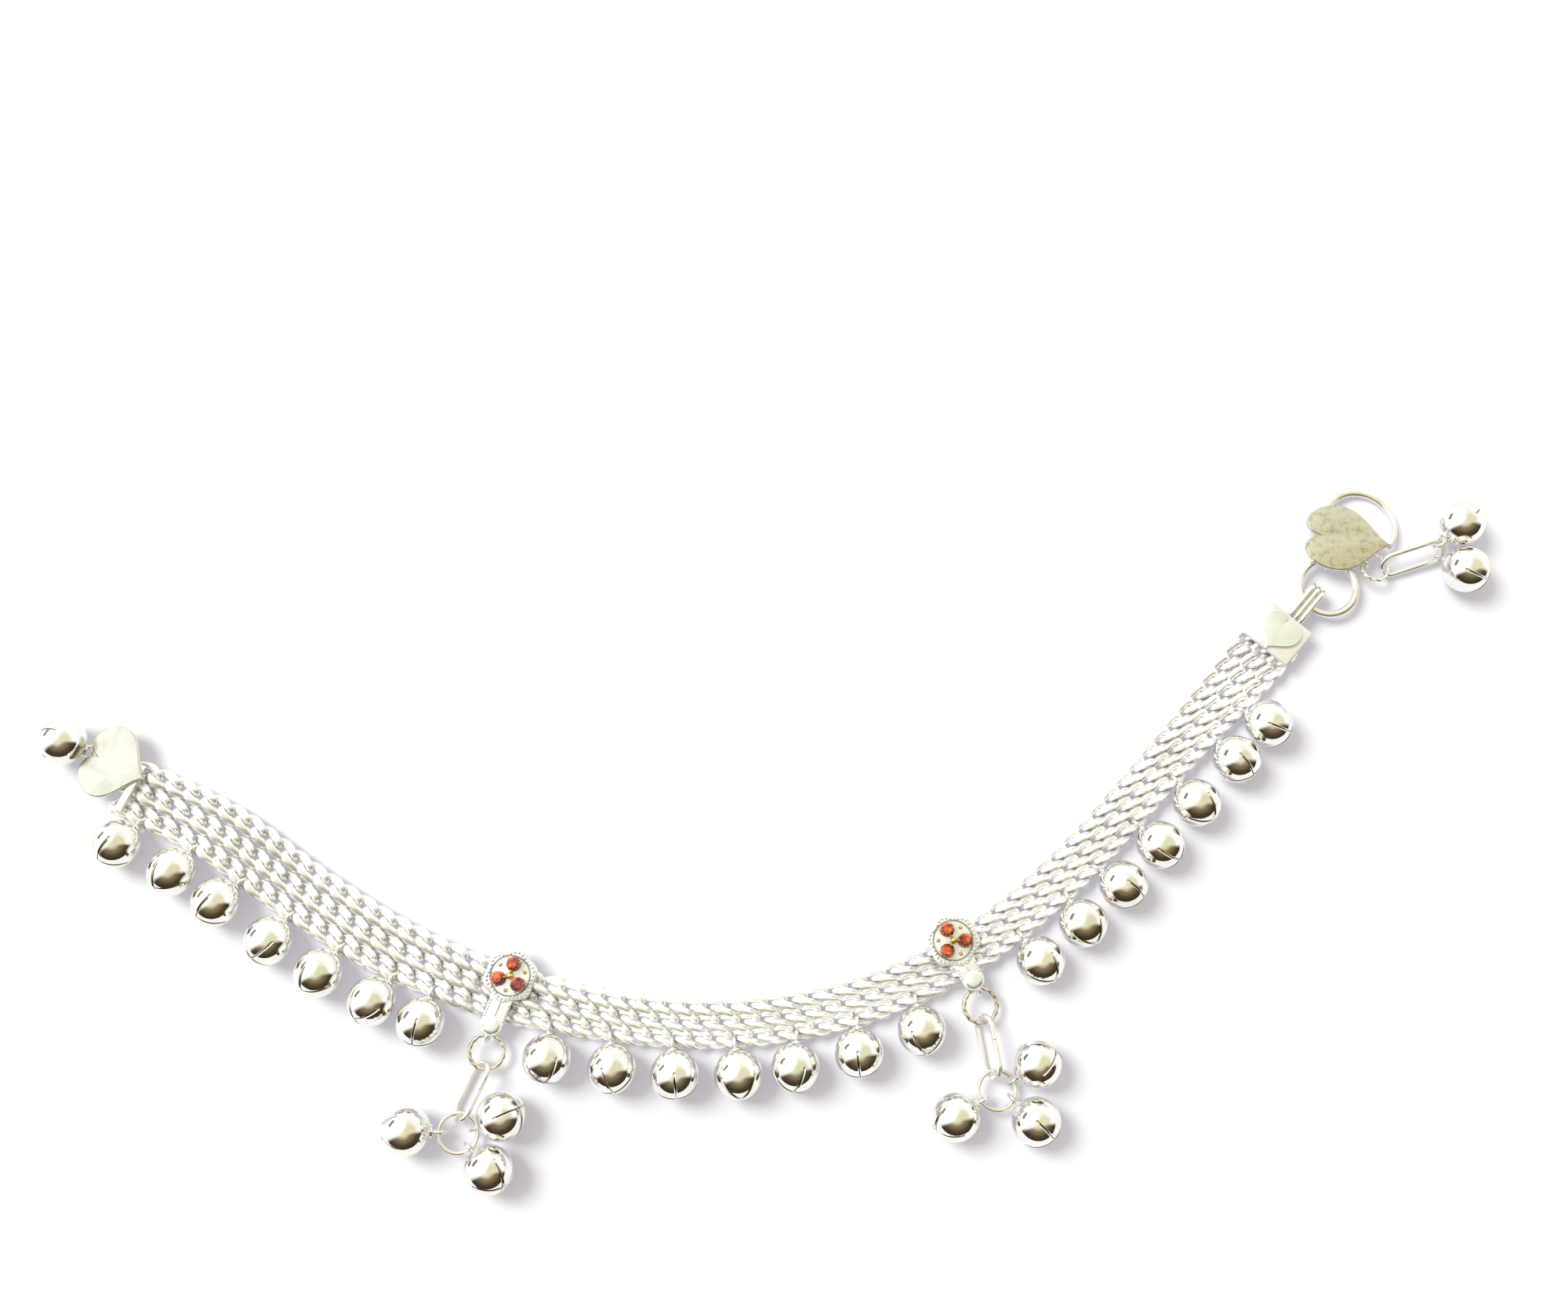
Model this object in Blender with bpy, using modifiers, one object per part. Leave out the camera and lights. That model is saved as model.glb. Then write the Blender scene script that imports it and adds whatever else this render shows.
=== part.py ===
"""Payal anklet, lying open: three curb chains side by side, round bells, two stone stations,
a heart plate at one end and a capped end with a hook clasp at the other.

Metres, +Z up. The anklet lies on z = 0, with the middle of its box over the origin.
"""
import math

import bpy
import bmesh
from mathutils import Matrix, Vector

ANGLE_STEP = 0.01            # of a wire's path, to find its direction

# Curb chain links
LINK_PITCH = 0.00236         # wanted distance from link to link
LINK_WIDTH = 0.0023
LINK_WIRE = 0.00064
WIRE_SIDES = 5
CHAIN_FLOOR_GAP = 0.00004

# Each chain is a plain tube. The lowest one's follows the outer strand, which the bells hang on.
TUBE_DIAMETER = 0.0015
STRAND_TUBE_DIAMETER = 0.0009
TUBE_STEP = 0.0042           # distance between two points of a tube
TUBE_END_GAP = 0.0003        # from a tube's end to the pin beside it

# Bells
BELL_RADIUS = 0.0028
BELL_SIDES = 10
BELL_NECK_RADIUS = 0.0008
BELL_NECK_RISE = 0.0001      # how far the neck stands over the ball
BELL_LOOP_RADIUS = 0.00085   # to the middle of its wire, like each radius of a ring below
BELL_LOOP_WIRE = 0.0004
BELL_LOOP_SIDES = 10
BELL_LOOP_SINK = 0.00035     # how deep the loop is soldered into the neck

# Clearance between wires that pass through one another
THREAD_GAP = 0.00025

# Stone stations
HEAD_RADIUS = 0.0030
HEAD_PETALS = 6
HEAD_SCALLOP = 0.00018
HEAD_THICKNESS = 0.0006
HEAD_OVER_BAND = 0.00012     # clearance over the chains
TAIL_WIDTH = 0.0026
TAIL_THICKNESS = 0.00045
TAIL_PAST_EYE = 0.00015      # how far the tail plate reaches past its eye's middle
PRONG_THICKNESS = 0.0005
PRONG_WIDTH = 0.0012
PRONG_GAP = 0.0003           # between a prong and the chain beside it
PRONG_FLOOR_GAP = 0.0003
EYE_RADIUS = 0.00075
EYE_WIRE = 0.0005
EYE_SIDES = 10
STONE_RADIUS = 0.00085
STONE_RING_RADIUS = 0.00138  # from the station's middle to a stone's middle
STONE_HEIGHT = 0.0009
STONE_GAP = 0.0001
STONE_FACETS = 8

# Rings and long links of the drops
STATION_RING_RADIUS = 0.00195
STATION_RING_WIRE = 0.00055
LONG_LINK_LENGTH = 0.0076
CLASP_LINK_LENGTH = 0.0086
LONG_LINK_WIDTH = 0.0034
LONG_LINK_WIRE = 0.0006
JUNCTION_RADIUS = 0.0022
JUNCTION_WIRE = 0.0005
DROP_HEIGHT = 0.00153        # height of these wires over the floor
CLASP_LINK_HEIGHT = 0.00188
RING_SIDES = 12

# Both ends of the band: a bar over the chains, a strip under them, and a pin through each
PIN_WIRE = 0.0005
BAR_WIDTH = 0.0010
BAR_THICKNESS = 0.00045
STRIP_THICKNESS = 0.0003
BAR_GAP = 0.00014            # between the chains and the bar or strip
BAR_OVERHANG = 0.0006        # past the outer pins
PIN_INSET = 0.00045          # from the middle of the end link to its pin
PIN_SIDES = 8

# Left end
HEART_LENGTH = 0.0081
HEART_WIDTH = 0.0088
HEART_THICKNESS = 0.0006
HEART_TIP_OVERHANG = 0.0013  # how far its tip reaches over the chains past the pins
HEART_SIDE = 0.0016          # its middle beside the middle chain
HEART_TILT = math.radians(5.5)
HEART_SINK = 0.0001          # how deep a plate or heart is soldered into what it lies on
END_EYE_INSET = 0.0010       # its middle inside the heart's outer edge
END_EYE_HEIGHT = 0.00115

# Right end
CAP_LENGTH = 0.0053
CAP_WIDTH = 0.0066
CAP_OVERHANG = 0.0024        # over the chains past the pins
CAP_THICKNESS = 0.0005
CAP_HEART_LENGTH = 0.0050
CAP_HEART_WIDTH = 0.0052
CAP_HEART_THICKNESS = 0.0004
CAP_HEART_PLACE = 0.0001     # its middle past the pins
BAIL_LENGTH = 0.0060
BAIL_HEIGHT = 0.0026
BAIL_THICKNESS = 0.0007
BAIL_WIDTH = 0.0021
BAIL_OVERLAP = 0.0005        # how far the bail's end lies under the cap plate
BAIL_FLOOR_GAP = 0.00015
BAIL_SIDE = -0.0005          # its middle beside the middle chain
JUMP_RADIUS = 0.0034
JUMP_WIRE = 0.0009
JUMP_HEIGHT = 0.00145
JUMP_SIDES = 16
HOOK_RADIUS = 0.00435
HOOK_WIRE = 0.0009
HOOK_PLATE_LENGTH = 0.0104
HOOK_PLATE_WIDTH = 0.0086
HOOK_TILT = math.radians(8.0)
HOOK_LEAN = math.radians(4.0)
HOOK_ARC = (math.radians(-38), math.radians(235))
HOOK_POINTS = 14
HOOK_SINK = 0.00015          # how deep the wire is soldered into the plate at its root
HOOK_PLATE_HEIGHT = 0.00225  # its underside over the eye
HOOK_EYE_RADIUS = 0.0010
HOOK_EYE_WIRE = 0.0005
CLASP_EYE_RADIUS = 0.0008
CLASP_EYE_WIRE = 0.0004
CLASP_RING_RADIUS = 0.0017
CLASP_RING_WIRE = 0.0005
CLASP_RING_ROLL = math.radians(-15)
CLASP_LINK_TURN = math.radians(12)   # from the ring's heading to where the link hangs in it
CLASP_LINK_ROLL = math.radians(45)

# Middle line of the top chain as it lies, left to right: x, y
BAND_ROUTE = [
    (-0.0752, 0.0065), (-0.0641, 0.0012), (-0.0533, -0.0063), (-0.0420, -0.0129),
    (-0.0298, -0.0176), (-0.0167, -0.0203), (-0.0033, -0.0206), (0.0097, -0.0180),
    (0.0216, -0.0124), (0.0320, -0.0042), (0.0412, 0.0054), (0.0498, 0.0151), (0.0578, 0.0244),
]

# How the three chains lie beside each other: share of the band, row spacing, roll in degrees
BAND_LAY = [
    (0.00, 0.00240, 0.0),
    (0.10, 0.00260, 4.0),
    (0.20, 0.00240, 12.0),
    (0.30, 0.00210, 24.0),
    (0.40, 0.00180, 30.0),
    (0.68, 0.00170, 32.0),
    (0.85, 0.00180, 30.0),
    (1.00, 0.00240, 0.0),
]
ROUTE_SAMPLES = 30           # between two points of the route
END_LIFT = STRIP_THICKNESS + BAR_GAP - CHAIN_FLOOR_GAP
END_LIFT_REACH = 0.006       # length over which the band rises to its ends

# Bells of the lowest chain, from the left: number of the link, swing of the bell in degrees
CHAIN_BELLS = {
    "left": [(1, -15), (4, -4), (7, -10), (10, -2), (13, -5), (16, -15), (18, 7)],
    "middle": [(24, 11), (27, 15), (30, 10), (33, 5), (36, -13), (39, -15), (42, -15)],
    "right": [(48, -2), (51, -15), (53, 12), (56, -2), (59, -9), (62, -6), (64, 15)],
}

# Stations. Angles are in degrees, headings are counted from +X, towards +Y.
STATIONS = [
    {"name": "left", "share": 0.323, "tail": 0.0070, "tail_heading": -110, "stone_turn": 73,
     "ring_heading": -95, "link_heading": -115, "junction_heading": -95,
     "ring_roll": -10, "link_roll": 50, "junction_roll": -10,
     "bells": [(-90, 177), (110, 25), (45, -42)]},
    {"name": "right", "share": 0.658, "tail": 0.0061, "tail_heading": -63, "stone_turn": 0,
     "ring_heading": -80, "link_heading": -80, "junction_heading": -80,
     "ring_roll": -10, "link_roll": 60, "junction_roll": -10,
     "bells": [(110, 36), (50, -45), (-70, 210)]},
]

# Bells of the clasp drop: where on the end of its long link, heading, in degrees
CLASP_BELLS = [(50, 40), (-50, -40)]

# Lie of the pieces past the band's right end: place, heading and roll
JUMP_PLACE = (0.0665, 0.0289)
HOOK_PLATE_PLACE = (0.0692, 0.0346)
HOOK_PLATE_HEADING = math.radians(-9)
HOOK_PLACE = (0.0710, 0.0368)
CLASP_EYE_PLACE = (0.0706, 0.0318)
CLASP_EYE_HEADING = math.radians(-35)
CLASP_RING_HEADING = math.radians(-18)
CLASP_LINK_HEADING = math.radians(18)
END_BELL_HEADING = math.radians(158)

# Materials: colour, roughness, metallic value
LOOKS = {
    "chain_silver": ((0.86, 0.86, 0.83, 1.0), 0.28, 1.0),
    "bell_silver": ((0.88, 0.87, 0.83, 1.0), 0.12, 1.0),
    "fitting_silver": ((0.86, 0.85, 0.80, 1.0), 0.22, 1.0),
    "stone_red": ((0.62, 0.07, 0.02, 1.0), 0.10, 0.0),
}


# Shape helpers

def material(name):
    """A material with its colour, roughness and metallic value."""
    colour, roughness, metallic = LOOKS[name]
    made = bpy.data.materials.new(name)
    made.use_nodes = True
    shader = made.node_tree.nodes["Principled BSDF"]
    shader.inputs["Base Color"].default_value = colour
    shader.inputs["Roughness"].default_value = roughness
    shader.inputs["Metallic"].default_value = metallic
    return made


def linked(name, mesh):
    """A new object with this mesh, in the anklet's collection."""
    piece = bpy.data.objects.new(name, mesh)
    PARTS.objects.link(piece)
    return piece


def evaluated_mesh(piece, weld=0.0):
    """The piece's mesh after its modifiers, with a curve's caps welded where asked."""
    bpy.context.view_layer.update()
    graph = bpy.context.evaluated_depsgraph_get()
    mesh = bpy.data.meshes.new_from_object(piece.evaluated_get(graph))
    shape = bmesh.new()
    shape.from_mesh(mesh)
    if weld:
        bmesh.ops.remove_doubles(shape, verts=shape.verts, dist=weld)
    bmesh.ops.recalc_face_normals(shape, faces=shape.faces)
    shape.to_mesh(mesh)
    shape.free()
    return mesh


def fused(name, pieces):
    """One solid from pieces that reach into each other. The pieces are used up."""
    base = pieces[0]
    for other in pieces[1:]:
        union = base.modifiers.new("Union", "BOOLEAN")
        union.operation = "UNION"
        union.solver = "EXACT"
        union.object = other
        mesh = evaluated_mesh(base)
        base.modifiers.clear()
        mesh.transform(base.matrix_world)
        base.data = mesh
        base.matrix_world = Matrix.Identity(4)
    for other in pieces[1:]:
        bpy.data.objects.remove(other)
    base.name = name
    base.data.name = name
    return base


def frame(place, along, up):
    """Matrix with X along the first direction and Z as near the second as can be."""
    x = Vector(along).normalized()
    y = Vector(up).cross(x).normalized()
    z = x.cross(y)
    matrix = Matrix((x, y, z)).transposed().to_4x4()
    matrix.translation = Vector(place)
    return matrix


def heading_vector(angle):
    return Vector((math.cos(angle), math.sin(angle), 0.0))


def wire_ring(name, path, wire, sides=RING_SIDES, half_step=False):
    """A ring primitive bent to follow a closed path, which gives a point for each angle."""
    bpy.ops.mesh.primitive_torus_add(
        major_segments=sides, minor_segments=WIRE_SIDES, major_radius=1.0, minor_radius=wire / 2)
    ring = bpy.context.active_object
    shift = math.pi / sides if half_step else 0.0
    for vertex in ring.data.vertices:
        angle = math.atan2(vertex.co.y, vertex.co.x) + shift
        inward = 1.0 - math.hypot(vertex.co.x, vertex.co.y)
        upward = vertex.co.z
        centre = path(angle)
        run = (path(angle + ANGLE_STEP) - path(angle - ANGLE_STEP)).normalized()
        out = (centre - run * centre.dot(run)).normalized()
        side = run.cross(out)
        vertex.co = centre + out * inward - side * upward
    mesh = evaluated_mesh(ring)
    bpy.data.objects.remove(ring)
    return linked(name, mesh)


def round_path(radius):
    return lambda angle: Vector((radius * math.cos(angle), radius * math.sin(angle), 0.0))


def oval_path(length, width):
    """Two half circles joined by straight sides, along X. Sizes are to the middle of the wire."""
    shift = (length - width) / 2

    def point(angle):
        end = math.copysign(shift, math.cos(angle))
        return Vector((end + width / 2 * math.cos(angle), width / 2 * math.sin(angle), 0.0))
    return point


def round_tube(name, points, diameter, resolution=2):
    """A curve through the points with a round bevel and closed ends, as a mesh."""
    curve = bpy.data.curves.new(name, "CURVE")
    curve.dimensions = "3D"
    spline = curve.splines.new("POLY")
    spline.points.add(len(points) - 1)
    for spot, point in zip(spline.points, points):
        spot.co = (*point, 1.0)
    curve.bevel_depth = diameter / 2
    curve.bevel_resolution = resolution
    curve.use_fill_caps = True
    holder = linked(name, curve)
    mesh = evaluated_mesh(holder, weld=0.00001)
    bpy.data.objects.remove(holder)
    return linked(name, mesh)


def flat_plate(name, outlines, thickness):
    """A flat piece of this outline in the XY plane, from z = 0 up. More outlines are holes."""
    curve = bpy.data.curves.new(name, "CURVE")
    curve.dimensions = "2D"
    curve.fill_mode = "BOTH"
    curve.extrude = thickness / 2
    for outline in outlines:
        spline = curve.splines.new("POLY")
        spline.points.add(len(outline) - 1)
        for spot, (x, y) in zip(spline.points, outline):
            spot.co = (x, y, 0.0, 1.0)
        spline.use_cyclic_u = True
    holder = linked(name, curve)
    mesh = evaluated_mesh(holder, weld=0.00001)
    mesh.transform(Matrix.Translation((0, 0, thickness / 2)))
    bpy.data.objects.remove(holder)
    return linked(name, mesh)


def turned(name, profile, sides):
    """A solid turned about Z. Its profile runs top to bottom, from the axis to the axis."""
    mesh = bpy.data.meshes.new(name)
    edges = [(step, step + 1) for step in range(len(profile) - 1)]
    mesh.from_pydata([(x, 0.0, z) for x, z in profile], edges, [])
    holder = linked(name, mesh)
    screw = holder.modifiers.new("Turn", "SCREW")
    screw.axis = "Z"
    screw.steps = sides
    screw.render_steps = sides
    screw.use_merge_vertices = True
    screw.merge_threshold = 0.00001
    solid = linked(name, evaluated_mesh(holder, weld=0.00001))
    bpy.data.objects.remove(holder)
    return solid


def box(name, size, middle):
    """A box of this size around its middle."""
    bpy.ops.mesh.primitive_cube_add(size=1)
    cube = bpy.context.active_object
    mesh = evaluated_mesh(cube)
    bpy.data.objects.remove(cube)
    mesh.transform(Matrix.Translation(middle) @ Matrix.Diagonal((*size, 1.0)))
    return linked(name, mesh)


def heart_outline(length, width, points=20):
    """A heart whose tip points along +X, with the middle of its box at the origin."""
    raw = []
    for step in range(points):
        angle = 2 * math.pi * step / points
        across = math.sin(angle) ** 3
        down = (13 * math.cos(angle) - 3 * math.cos(2 * angle) - 2 * math.cos(3 * angle)
                - math.cos(4 * angle))
        raw.append((-down, across))
    tip = max(x for x, y in raw)
    back = min(x for x, y in raw)
    side = max(y for x, y in raw)
    return [((x - (tip + back) / 2) * length / (tip - back), y * width / 2 / side)
            for x, y in raw]


def stadium_outline(length, height, points=12):
    """Two half circles joined by straight sides, along X."""
    path = oval_path(length, height)
    angles = [2 * math.pi * (step + 0.5) / points for step in range(points)]
    return [tuple(path(angle).xy) for angle in angles]


# How the band lies

def between(table, share, column):
    """A smooth value from a table whose first column is a share."""
    for before, after in zip(table, table[1:]):
        if share <= after[0]:
            mix = (share - before[0]) / (after[0] - before[0])
            mix = mix * mix * (3 - 2 * mix)
            return before[column] + (after[column] - before[column]) * mix
    return table[-1][column]


def route_points():
    """Close points on a smooth curve through the route, with their headings."""
    knots = [Vector(knot) for knot in BAND_ROUTE]
    knots = [2 * knots[0] - knots[1]] + knots + [2 * knots[-1] - knots[-2]]
    points = []
    for a, b, c, d in zip(knots, knots[1:], knots[2:], knots[3:]):
        for step in range(ROUTE_SAMPLES):
            t = step / ROUTE_SAMPLES
            points.append(0.5 * (2 * b + (c - a) * t + (2 * a - 5 * b + 4 * c - d) * t ** 2
                                 + (3 * b - a - 3 * c + d) * t ** 3))
    points.append(knots[-2])
    return points


STRAND_REACH = (LINK_WIDTH - LINK_WIRE) / 2   # from a chain's line to a strand's middle


def chain_half_height(roll):
    """Half the height of a chain of twisted links that are rolled this far about its line."""
    turns = [math.radians(angle) for angle in range(0, 360, 5)]
    rise = max(math.sin(turn) * math.sin(roll) + math.sin(2 * turn) / 2 * math.cos(roll)
               for turn in turns)
    return rise * STRAND_REACH + LINK_WIRE / 2


class Row:
    """One chain's line: points, rolls, and lengths along it."""

    def __init__(self, number):
        route = route_points()
        lengths = running_lengths([point.to_3d() for point in route])
        self.points = []
        self.rolls = []
        for index, point in enumerate(route):
            run = (route[min(index + 1, len(route) - 1)] - route[max(index - 1, 0)]).normalized()
            outward = Vector((run.y, -run.x))
            share = lengths[index] / lengths[-1]
            roll = math.radians(between(BAND_LAY, share, 2))
            to_end = min(lengths[index], lengths[-1] - lengths[index])
            fall = min(max((to_end - BAR_WIDTH) / END_LIFT_REACH, 0), 1)
            lift = END_LIFT * (1 - fall * fall * (3 - 2 * fall))
            spot = point + outward * between(BAND_LAY, share, 1) * number
            height = chain_half_height(roll) + CHAIN_FLOOR_GAP + lift
            self.points.append(Vector((spot.x, spot.y, height)))
            self.rolls.append(roll)
        self.lengths = running_lengths(self.points)
        self.length = self.lengths[-1]

    def at(self, length):
        """Place, direction and roll at this length along the chain. It may lie past an end."""
        index = 1
        while index < len(self.lengths) - 1 and self.lengths[index] < length:
            index += 1
        before, after = self.points[index - 1], self.points[index]
        mix = (length - self.lengths[index - 1]) / (self.lengths[index] - self.lengths[index - 1])
        roll = self.rolls[index - 1] + (self.rolls[index] - self.rolls[index - 1]) * mix
        return before + (after - before) * mix, (after - before).normalized(), roll

    def frame_at(self, length):
        """X along the chain, Y towards the band's inner edge, rolled with the links."""
        place, run, roll = self.at(length)
        return frame(place, run, (0, 0, 1)) @ Matrix.Rotation(-roll, 4, "X")


def running_lengths(points):
    lengths = [0.0]
    for before, after in zip(points, points[1:]):
        lengths.append(lengths[-1] + (after - before).length)
    return lengths


def link_frame(row, index):
    """Frame of this link, of a chain whose end links lie just inside their pins."""
    span = row.length - 2 * PIN_INSET
    count = round(span / LINK_PITCH) + 1
    return row.frame_at(PIN_INSET + index * span / (count - 1))


# Chains

def chain_as_tube(name, row, diameter, strand=0.0):
    """A tube along the chain's line, or beside it, where its outer strand runs."""
    start = PIN_WIRE / 2 + TUBE_END_GAP
    steps = math.ceil((row.length - 2 * start) / TUBE_STEP)
    spots = [start + (row.length - 2 * start) * step / steps for step in range(steps + 1)]
    points = [row.frame_at(spot) @ Vector((0, -strand, 0)) for spot in spots]
    return round_tube(name, points, diameter)


# Bells

BELL_LOOP_REACH = (BELL_RADIUS + BELL_NECK_RISE - BELL_LOOP_SINK + BELL_LOOP_WIRE / 2
                   + BELL_LOOP_RADIUS)
BELL_RING_ANGLES = (40, 0, -48)


def bell_mesh():
    """A ball turned about Z with a short neck, and a loop soldered on top."""
    profile = [(0.0, BELL_RADIUS + BELL_NECK_RISE), (BELL_NECK_RADIUS, BELL_RADIUS + BELL_NECK_RISE)]
    for angle in BELL_RING_ANGLES:
        turn = math.radians(angle)
        profile.append((BELL_RADIUS * math.cos(turn), BELL_RADIUS * math.sin(turn)))
    profile.append((0.0, -BELL_RADIUS))
    ball = turned("bell_ball", profile, BELL_SIDES)
    loop = wire_ring("bell_loop", round_path(BELL_LOOP_RADIUS), BELL_LOOP_WIRE, BELL_LOOP_SIDES)
    loop.matrix_world = frame((0, 0, BELL_LOOP_REACH), (0, 0, 1), (1, 0, 0))
    bell = fused("bell", [ball, loop])
    mesh = finished(bell, "bell_silver").data
    bpy.data.objects.remove(bell)
    return mesh


def add_bell(name, thread, wire_run, heading):
    """A bell that rests on the floor, with its loop around the wire at the thread point."""
    rise = math.asin((BELL_RADIUS - thread.z) / BELL_LOOP_REACH)
    to_ball = heading_vector(heading) * math.cos(rise) + Vector((0, 0, math.sin(rise)))
    across = wire_run - to_ball * wire_run.dot(to_ball)
    bell = linked(name, BELL)
    bell.matrix_world = frame(thread + to_ball * BELL_LOOP_REACH, across, -to_ball)
    return bell


def add_chain_bells():
    """The bells of the lowest chain. Each hangs on the outer strand of one of its links."""
    row = ROWS[-1]
    for group, plans in CHAIN_BELLS.items():
        for number, (link, swing) in enumerate(plans, start=1):
            lie = link_frame(row, link)
            thread = lie @ Vector((0, -STRAND_REACH, 0))
            run = lie.to_3x3() @ Vector((1, 0, 0))
            heading = math.atan2(run.y, run.x) - math.pi / 2 + math.radians(swing)
            add_bell(f"bell_{group}_{number}", thread, run, heading)


# Drops: a ring, a long link and a ring with bells

def hang(name, path, reach, wire, near, heading, far_height, roll, half_step=False):
    """A ring or link whose near end has its wire's middle here. Its far end has this height."""
    rise = math.asin((far_height - near.z) / (2 * reach))
    run = heading_vector(heading) * math.cos(rise) + Vector((0, 0, math.sin(rise)))
    piece = wire_ring(name, path, wire, half_step=half_step)
    piece.matrix_world = frame(near + run * reach, run, (0, 0, 1)) @ Matrix.Rotation(roll, 4, "X")
    return finished(piece)


def inside(piece, reach, wire, next_wire, turn=0.0):
    """Where the next piece's wire passes through this one, beside this one's wire."""
    return piece.matrix_world @ (heading_vector(turn) * (reach - (wire + next_wire) / 2 - THREAD_GAP))


def hang_ring(name, radius, wire, near, heading, roll, far_height=DROP_HEIGHT):
    return hang(name, round_path(radius), radius, wire, near, heading, far_height, roll)


def long_link_path(length):
    return oval_path(length - LONG_LINK_WIRE, LONG_LINK_WIDTH - LONG_LINK_WIRE)


def long_link_reach(length):
    return (length - LONG_LINK_WIRE) / 2


def hang_long_link(name, length, near, heading, roll, far_height=DROP_HEIGHT):
    return hang(name, long_link_path(length), long_link_reach(length), LONG_LINK_WIRE, near, heading,
                far_height, roll, True)


def bell_on_wire(name, piece, path, turn, heading):
    """A bell on a ring or link, at this angle of its path."""
    run = (path(turn + ANGLE_STEP) - path(turn - ANGLE_STEP)).normalized()
    add_bell(name, piece.matrix_world @ path(turn), piece.matrix_world.to_3x3() @ run, heading)


def add_drop(plan, eye):
    side = plan["name"]
    ring = hang_ring(f"station_ring_{side}", STATION_RING_RADIUS, STATION_RING_WIRE, eye,
                     math.radians(plan["ring_heading"]), math.radians(plan["ring_roll"]))
    near = inside(ring, STATION_RING_RADIUS, STATION_RING_WIRE, LONG_LINK_WIRE)
    link = hang_long_link(f"long_link_{side}", LONG_LINK_LENGTH, near,
                          math.radians(plan["link_heading"]), math.radians(plan["link_roll"]))
    near = inside(link, long_link_reach(LONG_LINK_LENGTH), LONG_LINK_WIRE, JUNCTION_WIRE)
    junction = hang_ring(f"junction_ring_{side}", JUNCTION_RADIUS, JUNCTION_WIRE, near,
                         math.radians(plan["junction_heading"]), math.radians(plan["junction_roll"]))
    for number, (turn, heading) in enumerate(plan["bells"], start=1):
        bell_on_wire(f"bell_cluster_{side}_{number}", junction, round_path(JUNCTION_RADIUS),
                     math.radians(turn), math.radians(heading))


# Stone stations

def vertical_eye(name, radius, wire, place, heading):
    """A ring that stands upright, in line with the heading."""
    eye = wire_ring(name, round_path(radius), wire, EYE_SIDES)
    eye.matrix_world = frame(place, heading_vector(heading), heading_vector(heading + math.pi / 2))
    return eye


def add_station(plan):
    """Head plate, tail plate, two prongs and an eye in one solid, then the three stones."""
    side = plan["name"]
    row = ROWS[0]
    along = row.length * plan["share"]
    place, run, roll = row.at(along)
    steepest = max(row.at(along + step)[2] for step in (-HEAD_RADIUS, 0, HEAD_RADIUS))
    floor = CHAIN_FLOOR_GAP + 2 * chain_half_height(steepest) + HEAD_OVER_BAND
    heading = math.radians(plan["tail_heading"])
    lie = frame((place.x, place.y, 0), heading_vector(heading), (0, 0, 1))

    outline = []
    for step in range(4 * HEAD_PETALS):
        angle = 2 * math.pi * (step + 0.5) / (4 * HEAD_PETALS)
        radius = HEAD_RADIUS + HEAD_SCALLOP * math.cos(HEAD_PETALS * angle)
        outline.append((radius * math.cos(angle), radius * math.sin(angle)))
    head = flat_plate("head", [outline], HEAD_THICKNESS)
    head.data.transform(Matrix.Translation((0, 0, floor)))
    middle = floor + HEAD_THICKNESS / 2
    length = plan["tail"] + TAIL_PAST_EYE
    tail = box("tail", (length, TAIL_WIDTH, TAIL_THICKNESS), (length / 2, 0, middle))

    slant = abs(math.cos(heading - math.atan2(run.y, run.x) + math.pi / 2))
    edge = LINK_WIDTH / 2 + PRONG_GAP + PRONG_THICKNESS / 2
    spacing = between(BAND_LAY, plan["share"], 1)
    height = middle - PRONG_FLOOR_GAP
    pieces = [head, tail]
    for reach in (-edge / slant, (edge + 2 * spacing) / slant):
        size = (PRONG_THICKNESS, PRONG_WIDTH, height)
        pieces.append(box("prong", size, (reach, 0, PRONG_FLOOR_GAP + height / 2)))
    eye_place = Vector((plan["tail"], 0, middle - EYE_RADIUS))
    pieces.append(vertical_eye("eye", EYE_RADIUS, EYE_WIRE, eye_place, 0.0))
    station = fused(f"station_{side}", pieces)
    station.matrix_world = lie
    finished(station)

    for number in range(3):
        angle = math.radians(plan["stone_turn"] + 120 * number)
        spot = Vector(lie.translation) + heading_vector(angle) * STONE_RING_RADIUS
        spot.z = floor + HEAD_THICKNESS + STONE_GAP
        stone = linked(f"stone_{side}_{number + 1}", STONE)
        stone.matrix_world = frame(spot, heading_vector(angle), (0, 0, 1))
    return lie @ eye_place


def stone_mesh():
    """A round cut stone: table, facets above and below the girdle, flat back."""
    profile = [(0, STONE_HEIGHT), (0.6 * STONE_RADIUS, STONE_HEIGHT),
               (STONE_RADIUS, 0.45 * STONE_HEIGHT), (0.55 * STONE_RADIUS, 0), (0, 0)]
    stone = turned("stone", profile, STONE_FACETS)
    mesh = finished(stone, "stone_red").data
    bpy.data.objects.remove(stone)
    return mesh


# Ends of the band

END_CHAIN_TOP = STRIP_THICKNESS + BAR_GAP + 2 * chain_half_height(0.0)
BAR_FLOOR = END_CHAIN_TOP + BAR_GAP


def end_frame(row_end):
    """Frame on the floor at the middle chain's end pin. X leads away from the band."""
    row = ROWS[1]
    place, run, roll = row.at(row_end * row.length)
    away = run if row_end else -run
    return frame((place.x, place.y, 0), (away.x, away.y, 0), (0, 0, 1))


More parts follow.
